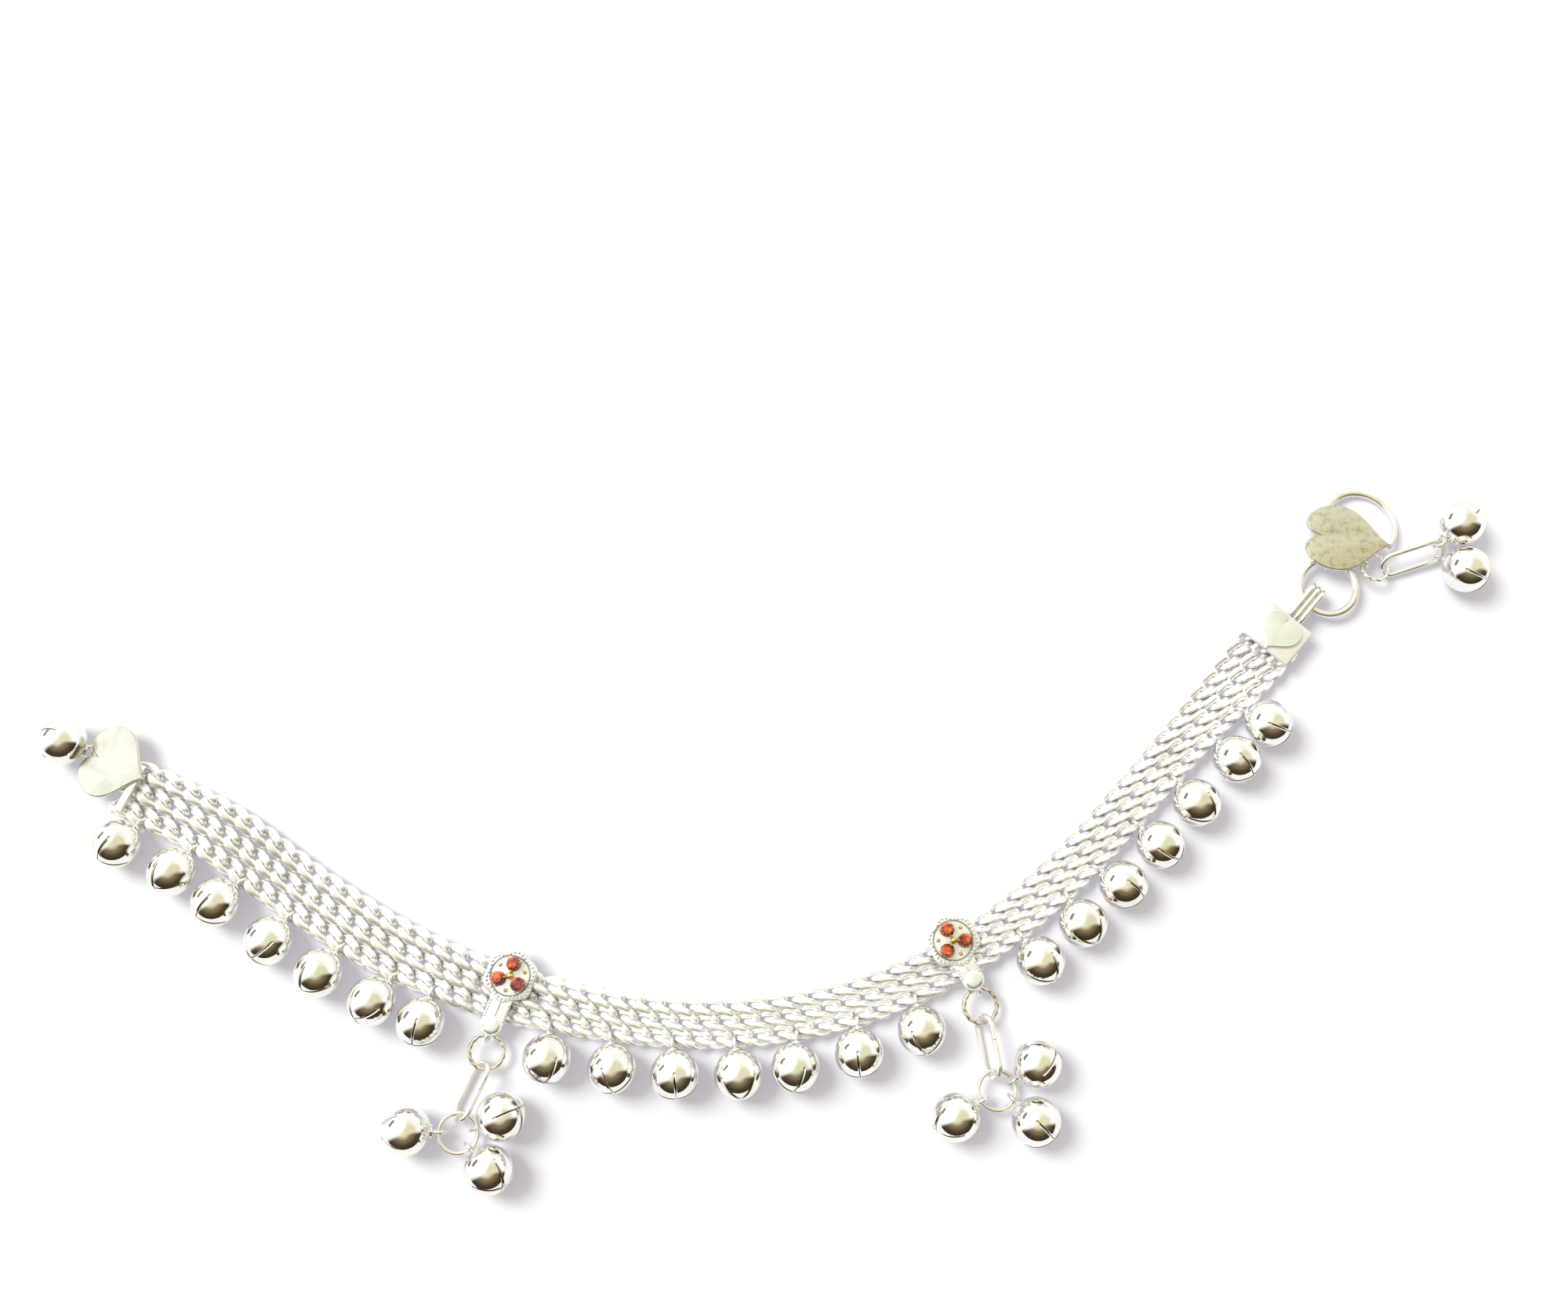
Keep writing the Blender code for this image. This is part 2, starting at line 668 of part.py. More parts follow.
def end_pins(lie, row_end):
    """The pins through the three chains' end links and the strip under them."""
    spots = [lie.inverted() @ row.at(row_end * row.length)[0] for row in ROWS]
    pieces = []
    for spot in spots:
        top = BAR_FLOOR + BAR_THICKNESS / 2
        profile = [(0, top), (PIN_WIRE / 2, top), (PIN_WIRE / 2, STRIP_THICKNESS / 2),
                   (0, STRIP_THICKNESS / 2)]
        pin = turned("pin", profile, PIN_SIDES)
        pin.data.transform(Matrix.Translation((spot.x, spot.y, 0)))
        pieces.append(pin)
    span = end_span(spots)
    pieces.append(box("strip", (BAR_WIDTH, span, STRIP_THICKNESS), (0, 0, STRIP_THICKNESS / 2)))
    return pieces, span


def end_span(spots):
    return max(spot.y for spot in spots) - min(spot.y for spot in spots) + 2 * BAR_OVERHANG


def tilted_plate(name, outline, place, tilt):
    """A plate whose underside goes through this place, tilted about the line across it."""
    plate = flat_plate(name, [outline], HEART_THICKNESS)
    plate.matrix_world = Matrix.Translation(place) @ Matrix.Rotation(tilt, 4, "Y")
    return plate


def add_end_heart():
    """Left end: pins, strip, bar, heart plate and the eye of the end bell."""
    lie = end_frame(0)
    pieces, span = end_pins(lie, 0)
    pieces.append(box("bar", (BAR_WIDTH, span, BAR_THICKNESS), (0, 0, BAR_FLOOR + BAR_THICKNESS / 2)))
    outline = [(HEART_LENGTH / 2 - HEART_TIP_OVERHANG - x, y - HEART_SIDE)
               for x, y in heart_outline(HEART_LENGTH, HEART_WIDTH)]
    rest = (0, 0, BAR_FLOOR + BAR_THICKNESS - HEART_SINK)
    pieces.append(tilted_plate("plate", outline, rest, HEART_TILT))
    reach = HEART_LENGTH - HEART_TIP_OVERHANG - END_EYE_INSET
    place = Vector((reach, -HEART_SIDE, END_EYE_HEIGHT))
    pieces.append(vertical_eye("eye", EYE_RADIUS, EYE_WIRE, place, 0.0))
    end = fused("end_heart", pieces)
    end.matrix_world = lie
    finished(end)
    rise = math.asin((BELL_RADIUS - END_EYE_HEIGHT) / (EYE_RADIUS + BELL_LOOP_REACH))
    hold = place + Vector((math.cos(rise), 0, math.sin(rise))) * EYE_RADIUS
    add_bell("bell_end", lie @ hold, Vector((0, 0, 1)), END_BELL_HEADING)


def add_end_cap():
    """Right end: pins, strip, cap plate with a small heart, and the bail."""
    lie = end_frame(1)
    pieces, span = end_pins(lie, 1)
    middle = CAP_LENGTH / 2 - CAP_OVERHANG
    pieces.append(box("cap", (CAP_LENGTH, CAP_WIDTH, CAP_THICKNESS),
                      (middle, 0, BAR_FLOOR + CAP_THICKNESS / 2)))
    outline = [(CAP_HEART_PLACE - x, y) for x, y in heart_outline(CAP_HEART_LENGTH, CAP_HEART_WIDTH)]
    heart = flat_plate("heart", [outline], CAP_HEART_THICKNESS + HEART_SINK)
    heart.data.transform(Matrix.Translation((0, 0, BAR_FLOOR + CAP_THICKNESS - HEART_SINK)))
    pieces.append(heart)
    hole = (BAIL_LENGTH - 2 * BAIL_THICKNESS, BAIL_HEIGHT - 2 * BAIL_THICKNESS)
    outlines = [stadium_outline(BAIL_LENGTH, BAIL_HEIGHT), stadium_outline(*hole)]
    bail = flat_plate("bail", outlines, BAIL_WIDTH)
    place = (middle + CAP_LENGTH / 2 - BAIL_OVERLAP + BAIL_LENGTH / 2, BAIL_SIDE + BAIL_WIDTH / 2,
             BAIL_FLOOR_GAP + BAIL_HEIGHT / 2)
    bail.matrix_world = Matrix.Translation(place) @ Matrix.Rotation(math.pi / 2, 4, "X")
    pieces.append(bail)
    cap = fused("end_cap", pieces)
    cap.matrix_world = lie
    finished(cap)


# Clasp

def add_jump_ring():
    ring = wire_ring("jump_ring", round_path(JUMP_RADIUS), JUMP_WIRE, JUMP_SIDES)
    ring.matrix_world = Matrix.Translation((*JUMP_PLACE, JUMP_HEIGHT))
    finished(ring)


def add_hook_clasp():
    """Heart plate, hook and two eyes in one solid. Its frame's origin is over the jump ring's wire."""
    anchor = Vector((JUMP_PLACE[0], JUMP_PLACE[1] + JUMP_RADIUS, 0))
    tilt = Matrix.Translation(anchor + Vector((0, 0, HOOK_PLATE_HEIGHT))) @ Matrix.Rotation(
        -HOOK_TILT, 4, "X")
    flat = Matrix.Translation(-anchor)

    turn = Matrix.Rotation(HOOK_PLATE_HEADING, 4, "Z")
    outline = []
    for x, y in heart_outline(HOOK_PLATE_LENGTH, HOOK_PLATE_WIDTH):
        spot = flat @ (turn @ Vector((x, y, 0)) + Vector((*HOOK_PLATE_PLACE, 0)))
        outline.append((spot.x, spot.y))
    plate = flat_plate("plate", [outline], HEART_THICKNESS)

    centre = flat @ Vector((*HOOK_PLACE, 0))
    start, end = HOOK_ARC
    steps = [end + (start - end) * step / HOOK_POINTS for step in range(HOOK_POINTS + 1)]
    root = centre + heading_vector(end) * HOOK_RADIUS
    points = []
    for angle in steps:
        spot = centre + heading_vector(angle) * HOOK_RADIUS
        drop = HOOK_WIRE / 2 - HOOK_SINK + (spot.x - root.x) * math.tan(HOOK_LEAN)
        points.append(Vector((spot.x, spot.y, -drop)))
    hook = round_tube("hook", points, HOOK_WIRE, 1)
    body = fused("hook", [plate, hook])
    body.data.transform(tilt)

    eye_place = anchor + Vector((0, 0, JUMP_HEIGHT))
    eye = vertical_eye("eye", HOOK_EYE_RADIUS, HOOK_EYE_WIRE, eye_place, math.pi / 2)
    under = tilt @ (flat @ Vector((*CLASP_EYE_PLACE, 0)))
    clasp_eye_place = Vector((*CLASP_EYE_PLACE, under.z + HEART_THICKNESS / 2 - CLASP_EYE_RADIUS))
    clasp_eye = vertical_eye("clasp_eye", CLASP_EYE_RADIUS, CLASP_EYE_WIRE, clasp_eye_place,
                             CLASP_EYE_HEADING)
    clasp = fused("hook_clasp", [body, eye, clasp_eye])
    clasp.data.transform(Matrix.Translation(-anchor))
    clasp.matrix_world = Matrix.Translation(anchor)
    finished(clasp)
    return clasp_eye_place


def add_clasp_drop(eye):
    ring = hang_ring("clasp_ring", CLASP_RING_RADIUS, CLASP_RING_WIRE, eye, CLASP_RING_HEADING,
                     CLASP_RING_ROLL)
    near = inside(ring, CLASP_RING_RADIUS, CLASP_RING_WIRE, LONG_LINK_WIRE, CLASP_LINK_TURN)
    link = hang_long_link("clasp_link", CLASP_LINK_LENGTH, near, CLASP_LINK_HEADING, CLASP_LINK_ROLL,
                          CLASP_LINK_HEIGHT)
    for number, (turn, heading) in enumerate(CLASP_BELLS, start=1):
        bell_on_wire(f"bell_clasp_{number}", link, long_link_path(CLASP_LINK_LENGTH),
                     math.radians(turn), math.radians(heading))


# Whole anklet

def finished(piece, look="fitting_silver"):
    piece.data.materials.clear()
    piece.data.materials.append(MATERIALS[look])
    return piece


def set_on_floor():
    """Every piece under one empty, with the box's middle over the origin and its foot on z = 0."""
    bpy.context.view_layer.update()
    corners = [piece.matrix_world @ vertex.co for piece in PARTS.objects for vertex in piece.data.vertices]
    low = Vector(min(corner[axis] for corner in corners) for axis in range(3))
    high = Vector(max(corner[axis] for corner in corners) for axis in range(3))
    root = bpy.data.objects.new("anklet", None)
    for piece in PARTS.objects:
        piece.parent = root
    PARTS.objects.link(root)
    root.location = (-(low.x + high.x) / 2, -(low.y + high.y) / 2, -low.z)


for old in list(bpy.data.objects):
    bpy.data.objects.remove(old)
PARTS = bpy.data.collections.new("payal_anklet")
bpy.context.scene.collection.children.link(PARTS)
MATERIALS = {name: material(name) for name in LOOKS}
ROWS = [Row(number) for number in range(3)]
BELL = bell_mesh()
STONE = stone_mesh()
finished(chain_as_tube("chain_top", ROWS[0], TUBE_DIAMETER), "chain_silver")
finished(chain_as_tube("chain_middle", ROWS[1], TUBE_DIAMETER), "chain_silver")
finished(chain_as_tube("chain_bottom", ROWS[2], STRAND_TUBE_DIAMETER, STRAND_REACH), "chain_silver")
add_chain_bells()
for station_plan in STATIONS:
    add_drop(station_plan, add_station(station_plan))
add_end_heart()
add_end_cap()
add_jump_ring()
add_clasp_drop(add_hook_clasp())
set_on_floor()
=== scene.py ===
"""Looks of the payal anklet: real curb links, hollow slit bells, cut stones, soldered fittings."""

import math

import bpy
import bmesh
from mathutils import Matrix, Vector


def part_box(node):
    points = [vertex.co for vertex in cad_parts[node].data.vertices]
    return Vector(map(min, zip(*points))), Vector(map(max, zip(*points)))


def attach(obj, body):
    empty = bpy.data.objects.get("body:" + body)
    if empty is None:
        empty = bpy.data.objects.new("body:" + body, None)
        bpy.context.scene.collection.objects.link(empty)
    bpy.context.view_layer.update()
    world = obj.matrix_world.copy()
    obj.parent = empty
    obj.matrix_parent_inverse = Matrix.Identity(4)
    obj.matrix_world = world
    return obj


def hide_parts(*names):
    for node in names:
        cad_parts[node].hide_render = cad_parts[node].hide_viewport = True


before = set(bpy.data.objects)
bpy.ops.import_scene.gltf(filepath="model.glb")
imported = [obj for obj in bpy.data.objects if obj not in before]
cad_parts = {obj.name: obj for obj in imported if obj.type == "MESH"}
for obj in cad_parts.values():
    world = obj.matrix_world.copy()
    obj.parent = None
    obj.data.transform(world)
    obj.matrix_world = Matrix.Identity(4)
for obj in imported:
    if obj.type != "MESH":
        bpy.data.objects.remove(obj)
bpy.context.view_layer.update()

# ------------------------ sizes, as in the CAD, in metres
LINK_PITCH, LINK_WIDTH, LINK_WIRE, FLOOR_GAP = 0.00236, 0.0023, 0.00064, 0.00004
BELL_R, NECK_R, NECK_RISE = 0.0028, 0.0008, 0.0001
LOOP_R, LOOP_WIRE, LOOP_SINK = 0.00085, 0.0004, 0.00035
LOOP_REACH = BELL_R + NECK_RISE - LOOP_SINK + LOOP_WIRE / 2 + LOOP_R
THREAD_GAP, END_FALL = 0.00025, 0.006
HEAD_R, HEAD_THICK, HEAD_OVER = 0.0030, 0.0006, 0.00012
TAIL_WIDTH, TAIL_THICK, TAIL_PAST_EYE = 0.0026, 0.00045, 0.00015
PRONG_THICK, PRONG_WIDTH, PRONG_GAP, PRONG_FLOOR = 0.0005, 0.0012, 0.0003, 0.0003
EYE_R, EYE_WIRE = 0.00075, 0.0005
STONE_R, STONE_RING_R, STONE_H, STONE_GAP = 0.00085, 0.00138, 0.0009, 0.0001
RING_R, RING_WIRE = 0.00195, 0.00055
LONG_LINK, CLASP_LINK, LONG_WIDTH, LONG_WIRE = 0.0076, 0.0086, 0.0034, 0.0006
JUNCTION_R, JUNCTION_WIRE, DROP_HEIGHT, CLASP_LINK_HEIGHT = 0.0022, 0.0005, 0.00153, 0.00188
PIN_WIRE, BAR_WIDTH, BAR_THICK, STRIP_THICK = 0.0005, 0.0010, 0.00045, 0.0003
BAR_GAP, BAR_OVERHANG, PIN_INSET = 0.00014, 0.0006, 0.00045
HEART_L, HEART_W, HEART_THICK, HEART_TIP = 0.0081, 0.0088, 0.0006, 0.0013
HEART_SIDE, HEART_TILT, HEART_SINK = 0.0016, math.radians(5.5), 0.0001
END_EYE, END_EYE_HEIGHT = 0.0058, 0.00115
CAP_L, CAP_W, CAP_OVER, CAP_THICK = 0.0053, 0.0066, 0.0024, 0.0005
CAP_HEART_L, CAP_HEART_W, CAP_HEART_THICK, CAP_HEART_PLACE = 0.0050, 0.0052, 0.0004, 0.0001
BAIL_L, BAIL_H, BAIL_THICK = 0.0060, 0.0026, 0.0007
BAIL_OVERLAP, BAIL_FLOOR, BAIL_SIDE = 0.0005, 0.00015, -0.0005
JUMP_R, JUMP_WIRE, JUMP_HEIGHT = 0.0034, 0.0009, 0.00145
HOOK_R, HOOK_WIRE, HOOK_L, HOOK_W = 0.00435, 0.0009, 0.0104, 0.0086
HOOK_TILT, HOOK_LEAN = math.radians(8.0), math.radians(4.0)
HOOK_ARC, HOOK_SINK, HOOK_HEIGHT = (math.radians(-38), math.radians(235)), 0.00015, 0.00225
HOOK_EYE_R, HOOK_EYE_WIRE, CLASP_EYE_R, CLASP_EYE_WIRE = 0.0010, 0.0005, 0.0008, 0.0004
CLASP_RING_R, CLASP_RING_WIRE = 0.0017, 0.0005
CLASP_RING_ROLL, CLASP_LINK_TURN, CLASP_LINK_ROLL = map(math.radians, (-15, 12, 45))

# ------------------------ sizes of what only the scene has
CURB_WIRE, CURB_FLAT, CURB_WIDTH, CURB_RISE = 0.00102, 0.62, 0.00256, 0.67
BELL_WALL, SEAM_SWELL, SEAM_SPREAD = 0.00026, 0.00001, 3.0
GROOVE_R, GROOVE_WIDTH = BELL_R + 0.00011, 0.00044
SLIT_WIDTH, SLIT_HEIGHT, SLIT_DROP, SLIT_EDGE = 0.00011, 0.003, 0.00115, 0.00001
PELLET_R, PELLET_PLACE = 0.00082, (0.0002, 0.00136, -0.0009)
NECK_SOLDER_R, NECK_SOLDER_SIDE, SOLDER_SHARE = 0.00019, 0.0004, 0.56
SCALLOP, SCALLOPS, HEAD_EDGE = 0.00016, 6, 0.00016
RIM_BEAD_R, RIM_BEADS, RIM_INSET = 0.00019, 36, 0.0004
RIM_LINE_R, RIM_LINE_WIRE = HEAD_R - 0.00072, 0.00020
STRAP_START, STRAP_TURN, STRAP_EDGE = HEAD_R * 0.7, 0.0024, 0.00012
MILL_R, MILL_STEP, MILL_START, MILL_END, MILL_INSET = 0.00016, 0.00036, 0.00025, 0.0018, 0.0002
RIDGE_START, RIDGE_END, RIDGE_RISE, RIDGE_WIDTHS = 0.0001, 0.0025, 0.00002, (0.00032, 0.00026)
DISC = [(0, 0.00026), (0.0007, 0.00024), (0.00098, 0.00014), (0.0011, 0.0), (0, 0)]
DISC_SINK, PRONG_EDGE = 0.00004, 0.00014
SEAT_SHARE, SEAT_WIRE, SEAT_RISE = 0.74, 0.00022, 0.00004
CLAW_GAP, CLAW_FOOT, CLAW_KNEE, CLAW_TIP = 0.00006, -0.00005, 0.00058, 0.00074
CLAW_TIP_SHARE, CLAW_WIRES = 0.88, (0.00022, 0.0002, 0.00018)
GOLD_BEAD_R, GOLD_BEAD_RISE, GOLD_DOT_R, GOLD_DOT_RING = 0.00044, 0.00032, 0.00024, 0.00172
STRIP_EDGE, BAR_EDGE, PLATE_EDGE = 0.00008, 0.00014, 0.00018
CAP_EDGE, CAP_HEART_EDGE = 0.0002, 0.00016
HOOK_TAPER, HOOK_TAPER_START = 0.28, 0.55

# ------------------------ places, as in the CAD
BAND_ROUTE = [
    (-0.0752, 0.0065), (-0.0641, 0.0012), (-0.0533, -0.0063), (-0.0420, -0.0129),
    (-0.0298, -0.0176), (-0.0167, -0.0203), (-0.0033, -0.0206), (0.0097, -0.0180),
    (0.0216, -0.0124), (0.0320, -0.0042), (0.0412, 0.0054), (0.0498, 0.0151), (0.0578, 0.0244),
]
# Share of the band's length, spacing of its chains, and how far their links roll in degrees
BAND_LAY = [
    (0.00, 0.00240, 0.0), (0.10, 0.00260, 4.0), (0.20, 0.00240, 12.0), (0.30, 0.00210, 24.0),
    (0.40, 0.00180, 30.0), (0.68, 0.00170, 32.0), (0.85, 0.00180, 30.0), (1.00, 0.00240, 0.0),
]
END_LIFT = STRIP_THICK + BAR_GAP - FLOOR_GAP
# The link that each bell hangs on, and how far it swings to the side in degrees
CHAIN_BELLS = {
    "left": [(1, -15), (4, -4), (7, -10), (10, -2), (13, -5), (16, -15), (18, 7)],
    "middle": [(24, 11), (27, 15), (30, 10), (33, 5), (36, -13), (39, -15), (42, -15)],
    "right": [(48, -2), (51, -15), (53, 12), (56, -2), (59, -9), (62, -6), (64, 15)],
}
# Each drop's rings and links have a heading and a roll, its bells a place on the ring and a heading
STATIONS = [
    {"name": "left", "share": 0.323, "tail": 0.0070, "tail_heading": -110, "stone_turn": 73,
     "ring": (-95, -10), "link": (-115, 50), "junction": (-95, -10),
     "bells": [(-90, 177), (110, 25), (45, -42)]},
    {"name": "right", "share": 0.658, "tail": 0.0061, "tail_heading": -63, "stone_turn": 0,
     "ring": (-80, -10), "link": (-80, 60), "junction": (-80, -10),
     "bells": [(110, 36), (50, -45), (-70, 210)]},
]
CLASP_BELLS = [(50, 40), (-50, -40)]
JUMP_PLACE, HOOK_PLATE_PLACE, HOOK_PLACE = (0.0665, 0.0289), (0.0692, 0.0346), (0.0710, 0.0368)
HOOK_PLATE_HEADING = math.radians(-9)
CLASP_EYE_PLACE, CLASP_EYE_HEADING = (0.0706, 0.0318), math.radians(-35)
CLASP_RING_HEADING, CLASP_LINK_HEADING, END_BELL_HEADING = map(math.radians, (-18, 18, 158))

# The CAD's own shift, from a node whose place in the layout is known
_low, _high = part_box("jump_ring")
SHIFT = (_low + _high) / 2 - Vector((*JUMP_PLACE, JUMP_HEIGHT))
ROOT = Matrix.Translation(SHIFT)

# ------------------------ layout, as in the CAD

def axes(place, along, up):
    """Matrix with X along the first direction and Z as near the second as can be."""
    x = Vector(along).normalized()
    y = Vector(up).cross(x).normalized()
    matrix = Matrix((x, y, x.cross(y))).transposed().to_4x4()
    matrix.translation = Vector(place)
    return matrix


def heading(angle):
    """Direction on the floor at this angle from X."""
    return Vector((math.cos(angle), math.sin(angle), 0.0))


def eased(mix):
    return mix * mix * (3 - 2 * mix)


def between(table, share, column):
    """A column's value at this share, eased from one row of the table to the next."""
    for before, after in zip(table, table[1:]):
        if share <= after[0]:
            mix = eased((share - before[0]) / (after[0] - before[0]))
            return before[column] + (after[column] - before[column]) * mix
    return table[-1][column]


def route_points():
    """The band's route as a smooth line through its knots."""
    knots = [Vector(knot) for knot in BAND_ROUTE]
    knots = [2 * knots[0] - knots[1]] + knots + [2 * knots[-1] - knots[-2]]
    points = []
    for a, b, c, d in zip(knots, knots[1:], knots[2:], knots[3:]):
        for step in range(30):
            t = step / 30
            points.append(0.5 * (2 * b + (c - a) * t + (2 * a - 5 * b + 4 * c - d) * t ** 2
                                 + (3 * b - a - 3 * c + d) * t ** 3))
    points.append(knots[-2])
    return points


STRAND = (LINK_WIDTH - LINK_WIRE) / 2


def half_height(roll):
    """How far a link of the CAD's size reaches above its middle at this roll."""
    turns = [math.radians(angle) for angle in range(0, 360, 5)]
    rise = max(math.sin(t) * math.sin(roll) + math.sin(2 * t) / 2 * math.cos(roll) for t in turns)
    return rise * STRAND + LINK_WIRE / 2


def running_lengths(points):
    lengths = [0.0]
    for before, after in zip(points, points[1:]):
        lengths.append(lengths[-1] + (after - before).length)
    return lengths


class Row:
    """One chain's line: points, rolls, and lengths along it."""

    def __init__(self, number):
        route = route_points()
        lengths = running_lengths([point.to_3d() for point in route])
        self.points, self.rolls = [], []
        for index, point in enumerate(route):
            run = (route[min(index + 1, len(route) - 1)] - route[max(index - 1, 0)]).normalized()
            outward = Vector((run.y, -run.x))
            share = lengths[index] / lengths[-1]
            roll = math.radians(between(BAND_LAY, share, 2))
            to_end = min(lengths[index], lengths[-1] - lengths[index])
            lift = END_LIFT * (1 - eased(min(max((to_end - BAR_WIDTH) / END_FALL, 0), 1)))
            spot = point + outward * between(BAND_LAY, share, 1) * number
            self.points.append(Vector((spot.x, spot.y, half_height(roll) + FLOOR_GAP + lift)))
            self.rolls.append(roll)
        self.lengths = running_lengths(self.points)
        self.length = self.lengths[-1]

    def at(self, length):
        """Place, direction and roll at this length along the line."""
        index = 1
        while index < len(self.lengths) - 1 and self.lengths[index] < length:
            index += 1
        before, after = self.points[index - 1], self.points[index]
        mix = (length - self.lengths[index - 1]) / (self.lengths[index] - self.lengths[index - 1])
        roll = self.rolls[index - 1] + (self.rolls[index] - self.rolls[index - 1]) * mix
        return before + (after - before) * mix, (after - before).normalized(), roll

    def link_count(self):
        return round((self.length - 2 * PIN_INSET) / LINK_PITCH) + 1

    def link_pitch(self):
        return (self.length - 2 * PIN_INSET) / (self.link_count() - 1)

    def link(self, index):
        """Frame of this link: X along the chain, Y towards the band's inner edge."""
        place, run, roll = self.at(PIN_INSET + index * self.link_pitch())
        return axes(place, run, (0, 0, 1)) @ Matrix.Rotation(-roll, 4, "X")


ROWS = [Row(number) for number in range(3)]


# ------------------------ mesh building

class Shape:
    """Points and faces that are gathered from several forms, each with a material number."""

    def __init__(self):
        self.points, self.faces, self.looks = [], [], []

    def add(self, form, matrix=None, look=0):
        points, faces = form
        base = len(self.points)
        self.points += points if matrix is None else [matrix @ Vector(point) for point in points]
        self.faces.extend(tuple(base + corner for corner in face) for face in faces)
        self.looks.extend([look] * len(faces))
        return self


def ring_faces(rows, sides, closed):
    """Faces between rings of points, and from the last to the first where closed."""
    faces = []
    for row in range(rows if closed else rows - 1):
        here, there = row * sides, (row + 1) % rows * sides
        for side in range(sides):
            turn = (side + 1) % sides
            faces.append((here + side, there + side, there + turn, here + turn))
    return faces


def loop_form(path, wire, steps=40, sides=12, twist=0, notch=0.0, flat=1.0):
    """A closed wire along a path that gives a point for each angle. Twist cuts a rope's grooves."""
    points = []
    for step in range(steps):
        angle = 2 * math.pi * step / steps
        centre = path(angle)
        run = (path(angle + 0.01) - path(angle - 0.01)).normalized()
        out = (centre - run * centre.dot(run)).normalized()
        side = run.cross(out)
        for number in range(sides):
            turn = 2 * math.pi * number / sides
            radius = wire / 2 * (1 - notch * (0.5 - 0.5 * math.cos(2 * turn + twist * angle)))
            points.append(centre + out * radius * math.cos(turn)
                          + side * radius * flat * math.sin(turn))
    faces = ring_faces(steps, sides, True)
    return points, [tuple(reversed(face)) for face in faces]


def tube_form(points, sizes, sides=14):
    """A round wire through the points, with a diameter for each, and domed ends."""
    spots = [Vector(point) for point in points]
    last = len(spots) - 1
    runs = [(spots[min(index + 1, last)] - spots[max(index - 1, 0)]).normalized()
            for index in range(len(spots))]

    def dome(end, way):
        turns = [math.radians(angle) for angle in (20, 40, 60, 80)]
        return [(spots[end] + runs[end] * way * sizes[end] / 2 * math.sin(turn),
                 sizes[end] * math.cos(turn), runs[end]) for turn in turns]

    line = dome(0, -1)[::-1] + list(zip(spots, sizes, runs)) + dome(-1, 1)
    made = []
    normal = runs[0].orthogonal().normalized()
    for spot, size, run in line:
        normal = (normal - run * normal.dot(run)).normalized()
        other = run.cross(normal)
        for number in range(sides):
            turn = 2 * math.pi * number / sides
            made.append(spot + (normal * math.cos(turn) + other * math.sin(turn)) * size / 2)
    faces = [tuple(reversed(face)) for face in ring_faces(len(line), sides, False)]
    faces.append(tuple(range(sides)))
    faces.append(tuple(reversed(range(len(made) - sides, len(made)))))
    return made, faces


def turned_form(profile, sides=32):
    """A solid turned about Z. Its profile runs top to bottom and may start and end on the axis."""
    points, faces, rows = [], [], []
    for x, z in profile:
        if x < 1e-7:
            rows.append([len(points)] * sides)
            points.append(Vector((0, 0, z)))
        else:
            rows.append(list(range(len(points), len(points) + sides)))
            points.extend(Vector((x * math.cos(2 * math.pi * n / sides),
                                  x * math.sin(2 * math.pi * n / sides), z)) for n in range(sides))
    for above, below in zip(rows, rows[1:]):
        for number in range(sides):
            turn = (number + 1) % sides
            corners = [above[number], below[number], below[turn], above[turn]]
            face = tuple(dict.fromkeys(corners))
            if len(face) > 2:
                faces.append(face)
    return points, faces


def linked(name, data):
    """A new object of the scene with this mesh, curve, light or camera."""
    made = bpy.data.objects.new(name, data)
    bpy.context.scene.collection.objects.link(made)
    return made


def form_of(made):
    """Form and material numbers of an object after its modifiers. The object is used up."""
    bpy.context.view_layer.update()
    graph = bpy.context.evaluated_depsgraph_get()
    mesh = bpy.data.meshes.new_from_object(made.evaluated_get(graph))
    form = ([vertex.co.copy() for vertex in mesh.vertices],
            [tuple(face.vertices) for face in mesh.polygons])
    looks = [face.material_index for face in mesh.polygons]
    bpy.data.objects.remove(made)
    bpy.data.meshes.remove(mesh)
    return form, looks


def plate_form(outline, thickness, edge):
    """A flat plate in XY from z = 0 up, with rounded edges."""
    curve = bpy.data.curves.new("outline", "CURVE")
    curve.dimensions = "2D"
    curve.fill_mode = "BOTH"
    curve.extrude = thickness / 2 - edge
    curve.bevel_depth = edge
    curve.offset = -edge
    curve.bevel_resolution = 3
    spline = curve.splines.new("POLY")
    spline.points.add(len(outline) - 1)
    for spot, (x, y) in zip(spline.points, outline):
        spot.co = (x, y, 0.0, 1.0)
    spline.use_cyclic_u = True
    (points, faces), _ = form_of(linked("outline", curve))
    return [point + Vector((0, 0, thickness / 2)) for point in points], faces


def box_form(size, middle, edge):
    """A box with rounded edges and corners."""
    shape = bmesh.new()
    bmesh.ops.create_cube(shape, size=1.0)
    bmesh.ops.scale(shape, vec=Vector(size), verts=shape.verts)
    bmesh.ops.bevel(shape, geom=list(shape.edges), offset=edge, segments=3, affect="EDGES",
                    profile=0.5)
    bmesh.ops.translate(shape, vec=Vector(middle), verts=shape.verts)
    shape.verts.index_update()
    form = ([vertex.co.copy() for vertex in shape.verts],
            [tuple(vertex.index for vertex in face.verts) for face in shape.faces])
    shape.free()
    return form


def ball_form(radius, middle, sides):
    profile = [(radius * math.sin(math.radians(a)), radius * math.cos(math.radians(a)))
               for a in range(0, 181, 15)]
    profile[-1] = (0.0, -radius)
    points, faces = turned_form(profile, sides)
    return [point + Vector(middle) for point in points], faces


